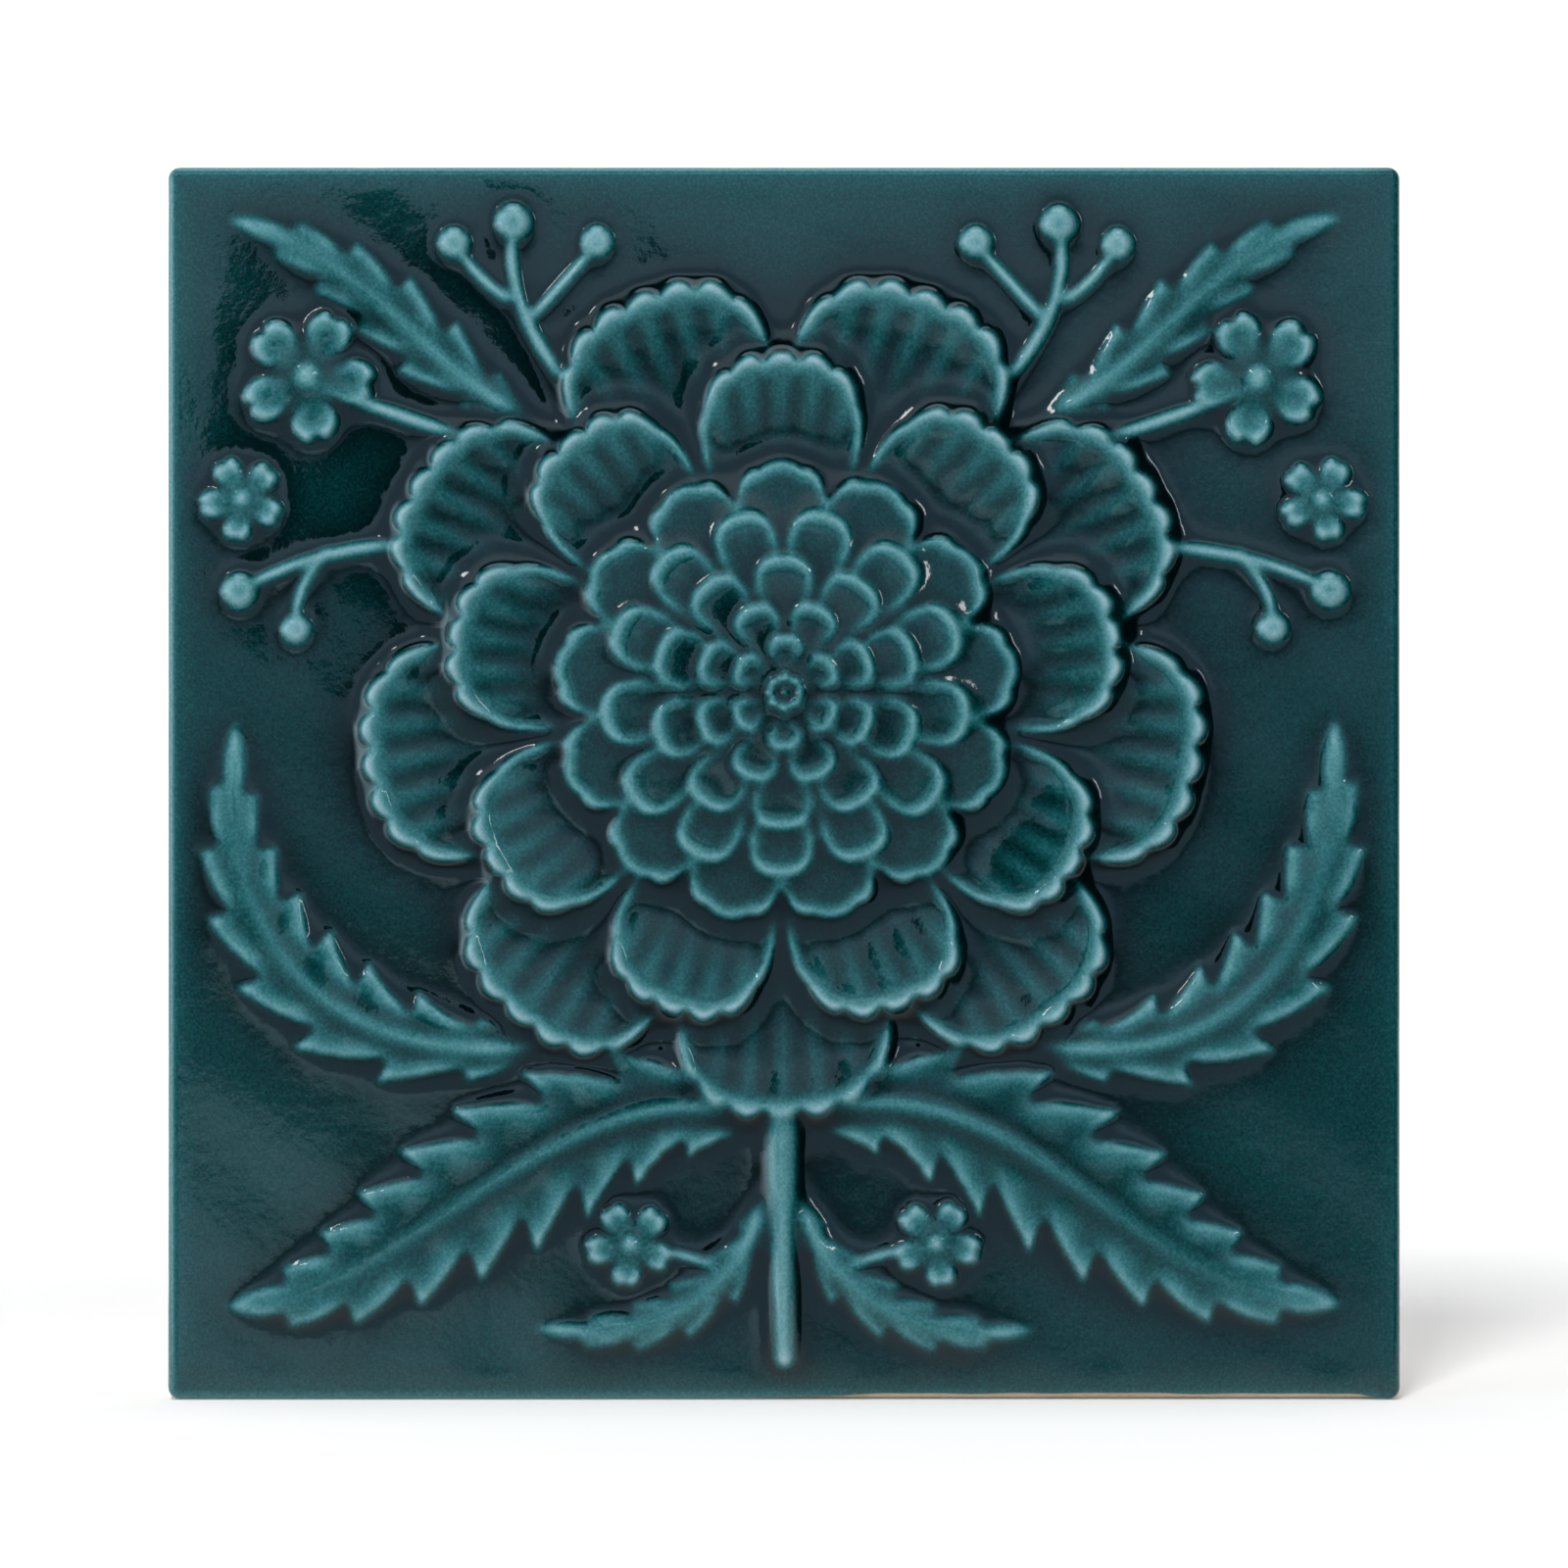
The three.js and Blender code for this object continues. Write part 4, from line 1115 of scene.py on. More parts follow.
@dataclass(frozen=True)
class Biscuit:
    """Pressed clay after its first firing: warm buff, matt and slightly open."""

    pale: Rgba = (0.88, 0.75, 0.58, 1.0)
    warm: Rgba = (0.76, 0.57, 0.39, 1.0)
    iron: Rgba = (0.20, 0.11, 0.06, 1.0)
    stain: Rgba = (0.28, 0.33, 0.29, 1.0)
    roughness: float = 0.86
    gloss: float = 0.3
    tone: float = 0.45
    speck_share: float = 0.7
    stain_share: float = 0.12
    stain_full: float = 0.0016
    stain_end: float = 0.0028
    pit_share: float = 0.35
    bump_share: float = 0.6
    bump_height: float = 0.0002

    def material(self, face_y: float) -> bpy.types.Material:
        """Builds the clay's material.

        Args:
            face_y: Where the tile's flat ground lies, in metres. The sides are stained by the glaze near it.

        Returns:
            The material.
        """
        material, nodes, output = new_material("biscuit")
        place = nodes.add("ShaderNodeTexCoord").outputs["Object"]
        cloud = Effect.MOTTLE.use(nodes, Vector=place, Scale=38.0, Detail=5.0, Amount=1.6)
        grain = Effect.MOTTLE.use(nodes, Vector=place, Scale=1700.0, Detail=4.0, Amount=0.9)
        tone = nodes.math("ADD", nodes.math("ADD", cloud, grain), self.tone)
        body = nodes.blend(tone, self.pale, self.warm)
        specks = Effect.PITS.use(nodes, Vector=place, Scale=620.0, Size=0.22, Share=0.06)
        body = nodes.blend(nodes.math("MULTIPLY", specks, self.speck_share), body, self.iron)
        away = nodes.math("SUBTRACT", nodes.add("ShaderNodeSeparateXYZ", {0: place}).outputs["Y"], face_y)
        ragged = Effect.MOTTLE.use(nodes, Vector=place, Scale=260.0, Detail=3.0, Amount=0.0018)
        reach = nodes.math("ADD", away, ragged)
        near = nodes.math("SUBTRACT", 1.0, nodes.step(reach, self.stain_full, self.stain_end))
        body = nodes.blend(nodes.math("MULTIPLY", near, self.stain_share), body, self.stain)
        pits = Effect.PITS.use(nodes, Vector=place, Scale=420.0, Size=0.26, Share=0.22)
        body = nodes.blend(nodes.math("MULTIPLY", pits, self.pit_share), body, self.warm)
        relief = nodes.math("SUBTRACT", nodes.math("MULTIPLY", grain, 0.5), pits)
        bump = {"Strength": self.bump_share, "Distance": self.bump_height, "Height": relief}
        look = {"Base Color": body, "Roughness": self.roughness, "Specular IOR Level": self.gloss}
        nodes.finish(output, bump, look)
        return material


@dataclass
class GlazeCoat:
    """The glaze: a closed skin with a fine outer face, an underside that fits the clay, and a rounded lip."""

    slab: Slab
    grid: FaceGrid
    finish: TealGlaze = field(default_factory=TealGlaze)
    tolerance: float = 0.015
    tint_weight: float = 0.3
    under_tolerance: float = 0.18
    edge_pitch: float = 1.2
    corner_fan: int = 7
    arris_steps: int = 9
    lip_angle: float = 1.27
    lip_wander: float = 0.1
    lip_waves: tuple[tuple[int, float], ...] = ((9, 0.4), (23, 2.2), (41, 4.0), (67, 1.1))
    lip_wiped: float = 0.75
    wiped_from: Point = (0.42, 0.6)
    wiped_to: Point = (0.97, 1.0)
    lip_coat: float = 0.05
    squareness: float = 2.8
    clear: float = 0.01

    def lip_of(self, loop: EdgeLoop) -> np.ndarray:
        """How far over the arris the glaze reaches: unevenly, and less where half the foot was wiped."""
        wander = self.lip_wander * loop.uneven(self.lip_waves)
        wiped = ramp(*self.wiped_from, loop.stations) * (1 - ramp(*self.wiped_to, loop.stations))
        return self.lip_angle + wander - self.lip_wiped * wiped

    def crest(self, lip: np.ndarray, share: float) -> tuple[np.ndarray, np.ndarray, np.ndarray]:
        """The outside of the glaze between the face and its lip, which bends late and tightly.

        Args:
            lip: How far over the arris the glaze reaches at each station.
            share: How far on the way to the lip.

        Returns:
            How far beyond the face it lies, its depth, and how far it has turned to the side.
        """
        arris, power = self.slab.arris, self.squareness
        width = np.minimum((arris + self.lip_coat) * np.sin(lip), arris - self.clear)
        drop = arris - (arris + self.lip_coat) * np.cos(lip) + self.grid.flood
        across = math.sin(TAU / 4 * share) ** (2 / power)
        left = max(math.cos(TAU / 4 * share), 0.0) ** (2 / power)
        turn = np.arctan2(across ** (power - 1) / width, left ** (power - 1) / drop)
        return width * across, self.slab.ground - self.grid.flood + drop * (1 - left), turn

    def build(self) -> bpy.types.Mesh:
        """Builds the coat's mesh.

        Returns:
            The mesh, with the depth of the glaze on its corners.
        """
        slab, grid = self.slab, self.grid
        middle = np.array([0, 0, slab.half_height])
        skin = Skin()
        outer = Net(grid, [(grid.glaze, 1.0), (grid.tint, self.tint_weight)], self.tolerance)
        under = Net(grid, [(grid.clay, 1.0)], self.under_tolerance)
        loop = EdgeLoop(*slab.face_half, self.edge_pitch, self.corner_fan)
        faces = []
        for net, heights, value, sign in (
            (outer, grid.glaze, grid.tint, 1),
            (under, under_surface(grid), grid.tint * 0, -1),
        ):
            normals = sign * grid.normals(heights).reshape(-1, 3)[net.samples]
            corners = skin.add(net.face_points(heights), normals, value.ravel()[net.samples])
            skin.cover(corners, net.facets, outward=sign > 0)
            order, stations = net.border()
            faces.append((corners[order], stations))
        lip = self.lip_of(loop)
        near_outer, near_under = faces
        for step in range(1, self.arris_steps + 1):
            share = step / self.arris_steps
            angle = lip * share
            reach, depth, turn = self.crest(lip, share)
            crest = loop.offset(reach, depth)
            foot = loop.offset(slab.arris * np.sin(angle), slab.ground + slab.arris * (1 - np.cos(angle)))
            # The lip's tint carries the painted shade towards the right-hand edge.
            tint = grid.rim_tint_and_right_shade(slab.arris - reach, crest[:, 0])
            far_outer = (skin.add(crest + middle, loop.tilted(turn), tint), loop.stations)
            far_under = (skin.add(foot + middle, -loop.tilted(angle), 0.0), loop.stations)
            skin.join(near_outer, far_outer, outward=True)
            skin.join(near_under, far_under, outward=False)
            near_outer, near_under = far_outer, far_under
        skin.join(near_outer, near_under, outward=True)
        mesh = skin.mesh("glaze_skin", DEPTH_ATTRIBUTE)
        mesh.normals_split_custom_set_from_vertices(np.concatenate(skin.normals).tolist())
        mesh.materials.append(self.finish.material())
        return mesh


def under_surface(grid: FaceGrid) -> np.ndarray:
    """The clay as coarser facets may follow it: sunk a little, and never above the real surface nearby."""
    lowest = grid.clay
    for axis in (0, 1):
        for shift in (-1, 1):
            lowest = np.minimum(lowest, np.roll(grid.clay, shift, axis=axis))
    return np.clip(lowest - grid.sunk, 0, None)


@dataclass
class BiscuitBody:
    """The clay body: the relief under the glaze, the bare sides, and the keyed back."""

    slab: Slab
    grid: FaceGrid
    finish: Biscuit = field(default_factory=Biscuit)
    tolerance: float = 0.05
    edge_pitch: float = 1.6
    corner_fan: int = 7
    arris_steps: int = 7
    back_steps: int = 3
    side_loops: int = 5
    side_wander: float = 0.06
    back_pitch: float = 1.6
    back_margin: float = 0.5
    back_wander: float = 0.06
    back_seed: float = 11.0
    flank_lines: int = 5
    flank_margin: float = 0.2
    sharp_degrees: float = 38.0

    def build(self) -> bpy.types.Mesh:
        """Builds the body's mesh with a plain back.

        Returns:
            The mesh, which marks the corners on its back with an attribute.
        """
        slab, grid = self.slab, self.grid
        middle = np.array([0, 0, slab.half_height])
        skin = Skin()
        net = Net(grid, [(grid.clay, 1.0)], self.tolerance)
        corners = skin.add(net.face_points(under_surface(grid)), np.zeros(3), 0.0)
        skin.cover(corners, net.facets, outward=True)
        order, stations = net.border()
        near = (corners[order], stations)
        loop = EdgeLoop(*slab.face_half, self.edge_pitch, self.corner_fan)
        for points in self.side_stations(loop):
            far = (skin.add(points + middle, np.zeros(3), 0.0), loop.stations)
            skin.join(near, far, outward=True)
            near = far
        self.close_back(skin, near)
        return skin.mesh("biscuit_plain_back", BACK_ATTRIBUTE)

    def side_stations(self, loop: EdgeLoop) -> list[np.ndarray]:
        """The loops of points from the face over the arris, down the side and round the back's edge.

        Args:
            loop: The stations round the face.

        Returns:
            The points of each loop, measured from the middle of the tile.
        """
        slab = self.slab
        stations = []
        for step in range(1, self.arris_steps + 1):
            angle = TAU / 4 * step / self.arris_steps
            y = slab.ground + slab.arris * (1 - math.cos(angle))
            stations.append(loop.offset(slab.arris * math.sin(angle), y))
        top, end = slab.ground + slab.arris, slab.slab_back - slab.back_arris
        for step in range(1, self.side_loops + 1):
            share = step / self.side_loops
            wander = loop.uneven(((7 + step, 1.3 * step), (19, 0.6 * step), (33, 2.1)))
            inward = self.side_wander * (1 + wander) / 2 * math.sin(math.pi * share)
            stations.append(loop.offset(slab.arris - inward, mix(top, end, share)))
        for step in range(1, self.back_steps + 1):
            angle = TAU / 4 * step / self.back_steps
            inward = slab.back_arris * (1 - math.cos(angle))
            stations.append(loop.offset(slab.arris - inward, end + slab.back_arris * math.sin(angle)))
        return stations

    def close_back(self, skin: Skin, near: Loop) -> None:
        """Adds the flat back as a grid with closer lines where the keys' flanks will rise.

        Args:
            skin: The skin to close.
            near: The last loop round the side.
        """
        slab = self.slab
        half_x, half_z = slab.face_half
        flank = np.linspace(-self.flank_margin, slab.key_draft + self.flank_margin, self.flank_lines)
        across = [np.linspace(-half_x, half_x, round(2 * half_x / self.back_pitch) + 1)]
        end = slab.half_width - slab.key_inset
        across += [end - slab.key_draft + flank, -end + slab.key_draft - flank]
        upward = [np.linspace(-half_z, half_z, round(2 * half_z / self.back_pitch) + 1)]
        for key in range(slab.key_count):
            middle = (key - (slab.key_count - 1) / 2) * slab.key_pitch
            upward += [middle + slab.key_width / 2 + flank, middle - slab.key_width / 2 - flank]
        lines_x = self.thinned(np.sort(np.concatenate(across)))
        lines_z = self.thinned(np.sort(np.concatenate(upward)))
        x, z = np.meshgrid(lines_x, lines_z)
        points = placed(x.ravel(), slab.slab_back, z.ravel(), slab)
        inside = (np.abs(x) < half_x - self.back_margin) & (np.abs(z) < half_z - self.back_margin)
        corners = skin.add(points, np.zeros(3), inside.ravel().astype(float)).reshape(x.shape)
        low_left, low_right = corners[:-1, :-1].ravel(), corners[:-1, 1:].ravel()
        high_left, high_right = corners[1:, :-1].ravel(), corners[1:, 1:].ravel()
        skin.facets.append(np.stack([low_left, high_right, low_right], axis=1))
        skin.facets.append(np.stack([low_left, high_left, high_right], axis=1))
        share_x = (lines_x + half_x) / (2 * half_x)
        share_z = (lines_z + half_z) / (2 * half_z)
        loop = np.concatenate([corners[0], corners[1:-1, -1], corners[-1, ::-1], corners[-2:0:-1, 0]])
        at = np.concatenate([share_x, 1 + share_z[1:-1], 3 - share_x[::-1], 4 - share_z[-2:0:-1]])
        skin.join(near, (loop, at), outward=True)

    @staticmethod
    def thinned(lines: np.ndarray, gap: float = 0.12) -> np.ndarray:
        """Drops lines that nearly coincide with the one before, but never the first or the last."""
        kept = [lines[0]]
        for line in lines[1:-1]:
            if line - kept[-1] > gap and lines[-1] - line > gap:
                kept.append(line)
        return np.array([*kept, lines[-1]])

    def pressed(self) -> bpy.types.Object:
        """Raises the keys on the back and dresses the body.

        Returns:
            The finished object, as a plain mesh.
        """
        slab = self.slab
        blank = bpy.data.objects.new("biscuit_blank", self.build())
        bpy.context.scene.collection.objects.link(blank)
        modifier = blank.modifiers.new("keys", "NODES")
        modifier.node_group = key_press()
        values = {
            "Key Count": slab.key_count,
            "Key Pitch": slab.key_pitch * MM,
            "Key Width": slab.key_width * MM,
            "Key Height": slab.key_height * MM,
            "Key Draft": slab.key_draft * MM,
            "Key Length": 2 * (slab.half_width - slab.key_inset) * MM,
            "Middle": slab.half_height * MM,
            "Unevenness": self.back_wander * MM,
            "Seed": self.back_seed,
            "Clay": self.finish.material(slab.ground * MM),
        }
        for item in modifier.node_group.interface.items_tree:
            if item.name in values:
                modifier[item.identifier] = values[item.name]
        mesh = plain_mesh(blank, "clay_body")
        mesh.shade_smooth()
        mesh.set_sharp_from_angle(angle=math.radians(self.sharp_degrees))
        bpy.data.objects.remove(blank)
        return finished("clay_body", mesh)


def key_press() -> bpy.types.NodeTree:
    """The press plate that raises evenly spaced keys on the back, as a Geometry Nodes tree."""
    given = {
        "Geometry": "NodeSocketGeometry",
        "Key Count": 1,
        "Key Pitch": 0.01,
        "Key Width": 0.005,
        "Key Height": 0.001,
        "Key Draft": 0.001,
        "Key Length": 0.1,
        "Middle": 0.0,
        "Unevenness": 0.0,
        "Seed": 0.0,
        "Clay": "NodeSocketMaterial",
    }
    nodes, come, leave = node_group("GeometryNodeTree", "press_keys", given, ("Mesh", "NodeSocketGeometry"))
    position = nodes.add("GeometryNodeInputPosition").outputs[0]
    along = nodes.add("ShaderNodeSeparateXYZ", {0: position}).outputs
    last = nodes.math("SUBTRACT", come["Key Count"], 1.0)
    half_last = nodes.math("MULTIPLY", last, 0.5)
    up = nodes.math("SUBTRACT", along["Z"], come["Middle"])
    turn = nodes.math("ADD", nodes.math("DIVIDE", up, come["Key Pitch"]), half_last)
    nearest = nodes.math("MINIMUM", nodes.math("MAXIMUM", nodes.math("ROUND", turn), 0.0), last)
    beside = nodes.math("MULTIPLY", nodes.math("SUBTRACT", turn, nearest), come["Key Pitch"])
    off = nodes.math("ABSOLUTE", beside)
    half_width = nodes.math("MULTIPLY", come["Key Width"], 0.5)
    half_length = nodes.math("MULTIPLY", come["Key Length"], 0.5)

    def flank(distance: object, edge: object, foot: object) -> bpy.types.NodeSocket:
        """1 inside an edge, 0 beyond its foot, and a draft between them."""
        inputs = {"Value": distance, "From Min": foot, "From Max": edge}
        return nodes.add("ShaderNodeMapRange", inputs, interpolation_type="SMOOTHERSTEP").outputs["Result"]

    side = flank(off, half_width, nodes.math("ADD", half_width, come["Key Draft"]))
    reach = nodes.math("ABSOLUTE", along["X"])
    end = flank(reach, nodes.math("SUBTRACT", half_length, come["Key Draft"]), half_length)
    lift = nodes.math("MULTIPLY", nodes.math("MULTIPLY", side, end), come["Key Height"])
    inputs = {"Vector": position, "W": come["Seed"], "Scale": 55.0, "Detail": 3.0}
    noise = nodes.add("ShaderNodeTexNoise", inputs, noise_dimensions="4D").outputs[0]
    lowered = nodes.math("SUBTRACT", lift, nodes.math("MULTIPLY", noise, come["Unevenness"]))
    offset = nodes.add("ShaderNodeCombineXYZ", {"Y": lowered}).outputs[0]
    marked = nodes.add("GeometryNodeInputNamedAttribute", {"Name": BACK_ATTRIBUTE}, data_type="FLOAT")
    on_back = nodes.math("GREATER_THAN", marked.outputs["Attribute"], 0.5)
    raised = nodes.add("GeometryNodeSetPosition", {
        "Geometry": come["Geometry"],
        "Selection": on_back,
        "Offset": offset,
    }).outputs[0]
    real = nodes.add("GeometryNodeRealizeInstances", {"Geometry": raised}).outputs[0]
    dressed = nodes.add("GeometryNodeSetMaterial", {"Geometry": real, "Material": come["Clay"]}).outputs[0]
    nodes.feed(leave["Mesh"], dressed)
    return nodes.tree


def plain_mesh(source: bpy.types.Object, name: str) -> bpy.types.Mesh:
    """A mesh of what an object's modifiers make of it."""
    bpy.context.view_layer.update()
    evaluated = source.evaluated_get(bpy.context.evaluated_depsgraph_get())
    mesh = bpy.data.meshes.new_from_object(evaluated)
    mesh.name = name
    return mesh


def finished(name: str, mesh: bpy.types.Mesh) -> bpy.types.Object:
    """An object at the origin that holds a finished mesh."""
    piece = bpy.data.objects.new(name, mesh)
    bpy.context.scene.collection.objects.link(piece)
    return piece


@dataclass(frozen=True)
class Softbox:
    """A white studio lamp, in metres, that is flagged off the glaze. glow is the radiance of its front."""

    name: str
    at: tuple[float, float, float]
    width: float
    height: float
    glow: float

    def place(self, target: Vector) -> None:
        """Puts the lamp up, aimed at the tile.

        Args:
            target: The middle of the tile's face.
        """
        lamp = bpy.data.lights.new(self.name, "AREA")
        lamp.shape = "RECTANGLE"
        lamp.size, lamp.size_y = self.width, self.height
        lamp.energy = self.glow * math.pi * self.width * self.height
        holder = bpy.data.objects.new(self.name, lamp)
        holder.location = self.at
        holder.rotation_euler = (Vector(self.at) - target).to_track_quat("Z", "Y").to_euler()
        holder.visible_camera = False
        holder.visible_glossy = False
        bpy.context.scene.collection.objects.link(holder)


@dataclass(frozen=True)
class Sheet:
    """A glowing diffuser sheet far round the tile, which its glaze mirrors.

    across and up are parts of a unit direction from the tile: where the sheet's glow starts, is full, starts
    to fall off, and ends, from the left to the right and from below upwards.
    """

    glow: float
    tint: Colour
    across: Fade
    up: Fade

    def light(self, nodes: Nodes, over: object, upward: object) -> bpy.types.NodeSocket:
        """Builds the sheet's glow.

        Args:
            nodes: The desk of the world.
            over: The direction's part to the right.
            upward: Its part upwards.

        Returns:
            The sheet's colour in that direction.
        """
        glow = self.glow
        for part, (start, full, fall, end) in ((over, self.across), (upward, self.up)):
            rise = nodes.step(part, start, full)
            left = nodes.math("SUBTRACT", 1.0, nodes.step(part, fall, end))
            glow = nodes.math("MULTIPLY", glow, nodes.math("MULTIPLY", rise, left))
        tint = nodes.add("ShaderNodeCombineXYZ", dict(enumerate(self.tint))).outputs[0]
        return nodes.add("ShaderNodeVectorMath", {0: tint, "Scale": glow}, operation="SCALE").outputs[0]


@dataclass
class Studio:
    """The white sweep, the lamps, the room and the camera."""

    slab: Slab
    lens: float = 150.0
    sensor: float = 36.0
    photo_width: float = 1600.0
    tile_span: float = 1256.0
    tile_middle: float = 799.0
    sweep_half: float = 4.0
    sweep_start: float = 0.6
    sweep_radius: float = 0.4
    sweep_top: float = 2.2
    sweep_steps: int = 24
    paper: float = 0.92
    near_lift: float = 0.18
    far_lift: float = 1.0
    lift_start: float = 0.15
    room: Colour = (0.8, 0.92, 1.0)
    room_level: float = 0.06
    paper_front: float = 0.07
    lamps: tuple[Softbox, ...] = (
        Softbox("key_strip", (-0.17, -1.06, 0.98), 0.2, 0.7, 29.0),
        Softbox("front_panel", (0.1, -1.35, 0.0), 1.1, 1.0, 0.8),
        Softbox("left_panel", (-0.95, -0.8, 0.2), 1.0, 1.2, 1.5),
        Softbox("top_panel", (0.0, -0.025, 1.15), 0.9, 0.45, 3.5),
    )
    sheets: tuple[Sheet, ...] = (
        Sheet(1.0, (0.46, 0.74, 1.0), (-2.0, -1.5, -0.1, 0.12), (-0.08, 0.06, 0.66, 0.76)),
        Sheet(1.0, (0.38, 0.68, 0.94), (-0.1, 0.12, 0.46, 0.54), (-0.08, 0.06, 0.6, 0.72)),
        Sheet(0.9, (0.45, 0.74, 0.95), (-2.0, -1.5, 0.46, 0.54), (-0.95, -0.3, -0.09, -0.035)),
        Sheet(0.45, (0.6, 0.85, 1.0), (-0.3, -0.15, 0.15, 0.3), (0.03, 0.09, 0.12, 0.25)),
        Sheet(0.8, (0.6, 0.92, 1.0), (-0.16, -0.12, -0.08, 0.0), (-0.13, -0.1, -0.055, -0.035)),
        Sheet(2.6, (0.56, 0.88, 1.0), (-1.2, -0.98, -0.95, -0.7), (-0.9, -0.4, 0.75, 0.95)),
        Sheet(1.6, (0.75, 0.92, 1.0), (-1.2, -1.0, -0.8, -0.45), (-0.12, -0.1, 0.1, 0.12)),
        Sheet(0.7, (0.8, 0.93, 1.0), (-0.8, -0.5, 0.15, 0.4), (0.36, 0.5, 0.6, 0.7)),
        Sheet(18.0, (1.0, 1.0, 1.0), (-0.385, -0.37, -0.33, -0.315), (0.36, 0.375, 0.415, 0.43)),
        Sheet(14.0, (1.0, 1.0, 1.0), (0.4, 0.41, 0.425, 0.435), (0.14, 0.17, 0.28, 0.31)),
        Sheet(2.8, (0.62, 0.88, 1.0), (-0.9, -0.7, 0.4, 0.6), (0.86, 0.95, 1.5, 2.0)),
    )
    lens_at: tuple[float, float, float] = (-0.092, -0.8, 0.162)
    lens_radius: float = 0.052
    lens_corners: int = 48
    lens_black: Rgba = (0.004, 0.004, 0.005, 1.0)

    def build(self) -> None:
        """Sets up everything round the tile."""
        self.place_sweep()
        target = Vector((0, self.slab.ground * MM, self.slab.half_height * MM))
        for lamp in self.lamps:
            lamp.place(target)
        self.light_room()
        self.place_camera()
        self.place_lens()
        bpy.context.scene.view_settings.view_transform = "Standard"

    def place_sweep(self) -> None:
        """Lays the paper that the tile stands on, which curves up behind it."""
        profile = [(-self.sweep_half, 0.0)]
        for step in range(self.sweep_steps + 1):
            angle = TAU / 4 * step / self.sweep_steps
            y = self.sweep_start + self.sweep_radius * math.sin(angle)
            profile.append((y, self.sweep_radius * (1 - math.cos(angle))))
        profile.append((profile[-1][0], self.sweep_top))
        points = [(side * self.sweep_half, y, z) for y, z in profile for side in (-1, 1)]
        quads = [(2 * row, 2 * row + 1, 2 * row + 3, 2 * row + 2) for row in range(len(profile) - 1)]
        mesh = bpy.data.meshes.new("paper_sweep")
        mesh.from_pydata(points, [], quads)
        mesh.shade_smooth()
        mesh.materials.append(self.paper_material())
        finished("paper_sweep", mesh)

    def paper_material(self) -> bpy.types.Material:
        """White paper that glows for the eye and in reflections, more so far from the tile.

        Returns:
            The material, clear when it is seen from behind. The glaze mirrors only the paper by its foot.
        """
        material, nodes, output = new_material("white_paper")
        place = nodes.add("ShaderNodeTexCoord").outputs["Object"]
        fibre = Effect.MOTTLE.use(nodes, Vector=place, Scale=900.0, Detail=2.0, Amount=0.03)
        shade = nodes.math("ADD", self.paper, fibre)
        tone = nodes.add("ShaderNodeCombineColor", {0: shade, 1: shade, 2: shade}).outputs[0]
        lit = nodes.add("ShaderNodeBsdfDiffuse", {"Color": tone}).outputs[0]
        rays = nodes.add("ShaderNodeLightPath").outputs
        seen = nodes.math("MAXIMUM", rays["Is Camera Ray"], rays["Is Glossy Ray"])
        seen = nodes.math("MAXIMUM", seen, rays["Is Transmission Ray"])
        depth = nodes.add("ShaderNodeSeparateXYZ", {0: place}).outputs["Y"]
        distance = nodes.add("ShaderNodeVectorMath", {0: place}, operation="LENGTH").outputs["Value"]
        away = nodes.step(distance, self.lift_start, self.sweep_start)
        lift = nodes.math("MULTIPLY_ADD", away, self.far_lift - self.near_lift, self.near_lift)
        strength = nodes.math("MULTIPLY", seen, lift)
        glow = nodes.add("ShaderNodeEmission", {"Color": (1, 1, 1, 1), "Strength": strength}).outputs[0]
        front = nodes.add("ShaderNodeAddShader", {0: lit, 1: glow}).outputs[0]
        behind = nodes.add("ShaderNodeNewGeometry").outputs["Backfacing"]
        far_front = nodes.math("SUBTRACT", 1.0, nodes.step(depth, -self.paper_front, 0.0))
        unseen = nodes.math("MAXIMUM", behind, nodes.math("MULTIPLY", far_front, rays["Is Glossy Ray"]))
        clear = nodes.add("ShaderNodeBsdfTransparent").outputs[0]
        paper = nodes.add("ShaderNodeMixShader", {0: unseen, 1: front, 2: clear}).outputs[0]
        nodes.feed(output.inputs["Surface"], paper)
        return material

    def light_room(self) -> None:
        """Fills the room with a little plain light, and with the sheets that the glaze mirrors.

        For the eye it is white, as the paper is.
        """
        world = bpy.data.worlds.new("studio_room")
        bpy.context.scene.world = world
        world.use_nodes = True
        nodes = Nodes(world.node_tree)
        way = nodes.add("ShaderNodeTexCoord").outputs["Generated"]
        parts = nodes.add("ShaderNodeSeparateXYZ", {0: way}).outputs
        total = (0.0, 0.0, 0.0)
        for sheet in self.sheets:
            light = sheet.light(nodes, parts["X"], parts["Z"])
            total = nodes.add("ShaderNodeVectorMath", {0: total, 1: light}, operation="ADD").outputs[0]
        plain = tuple(part * self.room_level for part in self.room)
        rays = nodes.add("ShaderNodeLightPath").outputs
        light = plain
        for ray, shown in (("Is Glossy Ray", total), ("Is Camera Ray", (1.0, 1.0, 1.0))):
            inputs = {0: rays[ray], 4: light, 5: shown}
            light = nodes.add("ShaderNodeMix", inputs, data_type="VECTOR").outputs[1]
        background = world.node_tree.nodes["Background"]
        nodes.feed(background.inputs["Color"], light)
        background.inputs["Strength"].default_value = 1.0

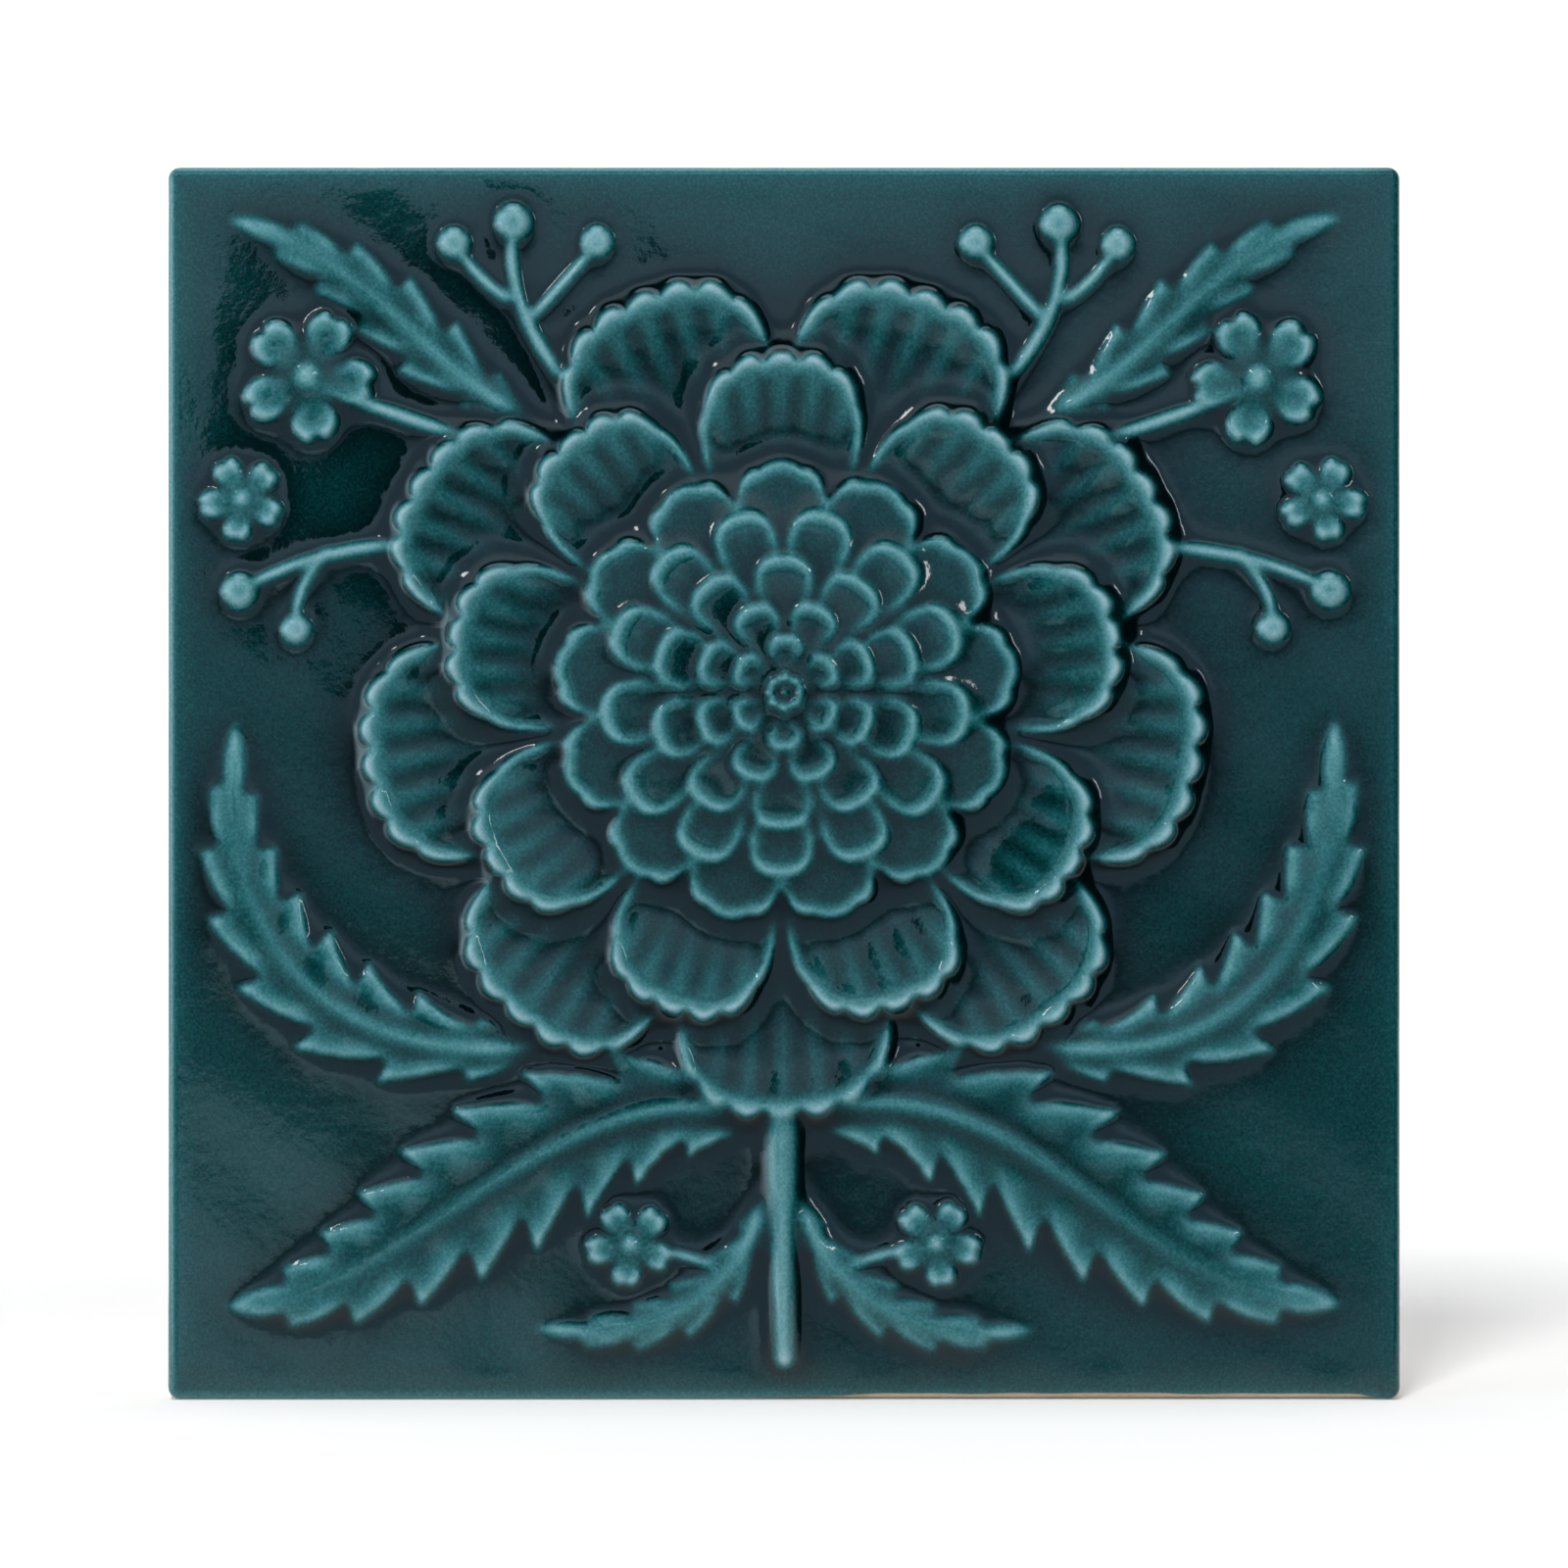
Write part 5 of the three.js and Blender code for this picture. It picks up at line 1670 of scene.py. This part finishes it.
    def place_lens(self) -> None:
        """Hangs up the dark disc of the camera's lens, which keeps a patch of the glaze dark."""
        x, y, z = self.lens_at
        turns = np.linspace(0, TAU, self.lens_corners, endpoint=False)
        radius = self.lens_radius
        rim = [(x + radius * math.cos(turn), y, z + radius * math.sin(turn)) for turn in turns]
        mesh = bpy.data.meshes.new("camera_lens")
        mesh.from_pydata(rim, [], [tuple(range(len(rim)))])
        material, nodes, output = new_material("lens_black")
        black = nodes.add("ShaderNodeBsdfDiffuse", {"Color": self.lens_black})
        nodes.feed(output.inputs["Surface"], black.outputs[0])
        mesh.materials.append(material)
        lens = finished("camera_lens", mesh)
        lens.visible_camera = lens.visible_diffuse = lens.visible_shadow = False

    def place_camera(self) -> None:
        """Puts the camera straight in front of the tile, at the photograph's scale."""
        camera = bpy.data.cameras.new("camera")
        camera.lens = self.lens
        camera.sensor_width = self.sensor
        pixel = 2 * self.slab.half_width / self.tile_span
        view_width = pixel * self.photo_width
        outline = self.slab.ground + self.slab.arris
        distance = view_width * self.lens / self.sensor
        lower = pixel * (self.photo_width / 2 - self.tile_middle)
        holder = bpy.data.objects.new("camera", camera)
        holder.location = Vector((0, outline - distance, self.slab.half_height - lower)) * MM
        holder.rotation_euler = (math.pi / 2, 0, 0)
        bpy.context.scene.collection.objects.link(holder)
        bpy.context.scene.camera = holder


def count_triangles(piece: bpy.types.Object) -> int:
    """How many triangles a piece's mesh has."""
    piece.data.calc_loop_triangles()
    return len(piece.data.loop_triangles)


def main() -> None:
    """Builds the tile and the studio."""
    logging.basicConfig(level=logging.INFO, format="%(name)s: %(message)s")
    slab = Slab.from_frame()
    Studio(slab).build()
    grid = FaceGrid(slab, Relief())
    coat = grid.glaze - grid.clay
    LOG.info("the glaze lies %.2f to %.2f mm deep", coat.min(), coat.max())
    body = BiscuitBody(slab, grid).pressed()
    coat = finished("glazed_face", GlazeCoat(slab, grid).build())
    for piece, node, slot in ((body, BODY_NODE, "biscuit"), (coat, COAT_NODE, "teal_glaze")):
        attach(piece, "root")
        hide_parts(node)
        LOG.info("%s: %d triangles", piece.name, count_triangles(piece))


if __name__ == "__main__":
    main()
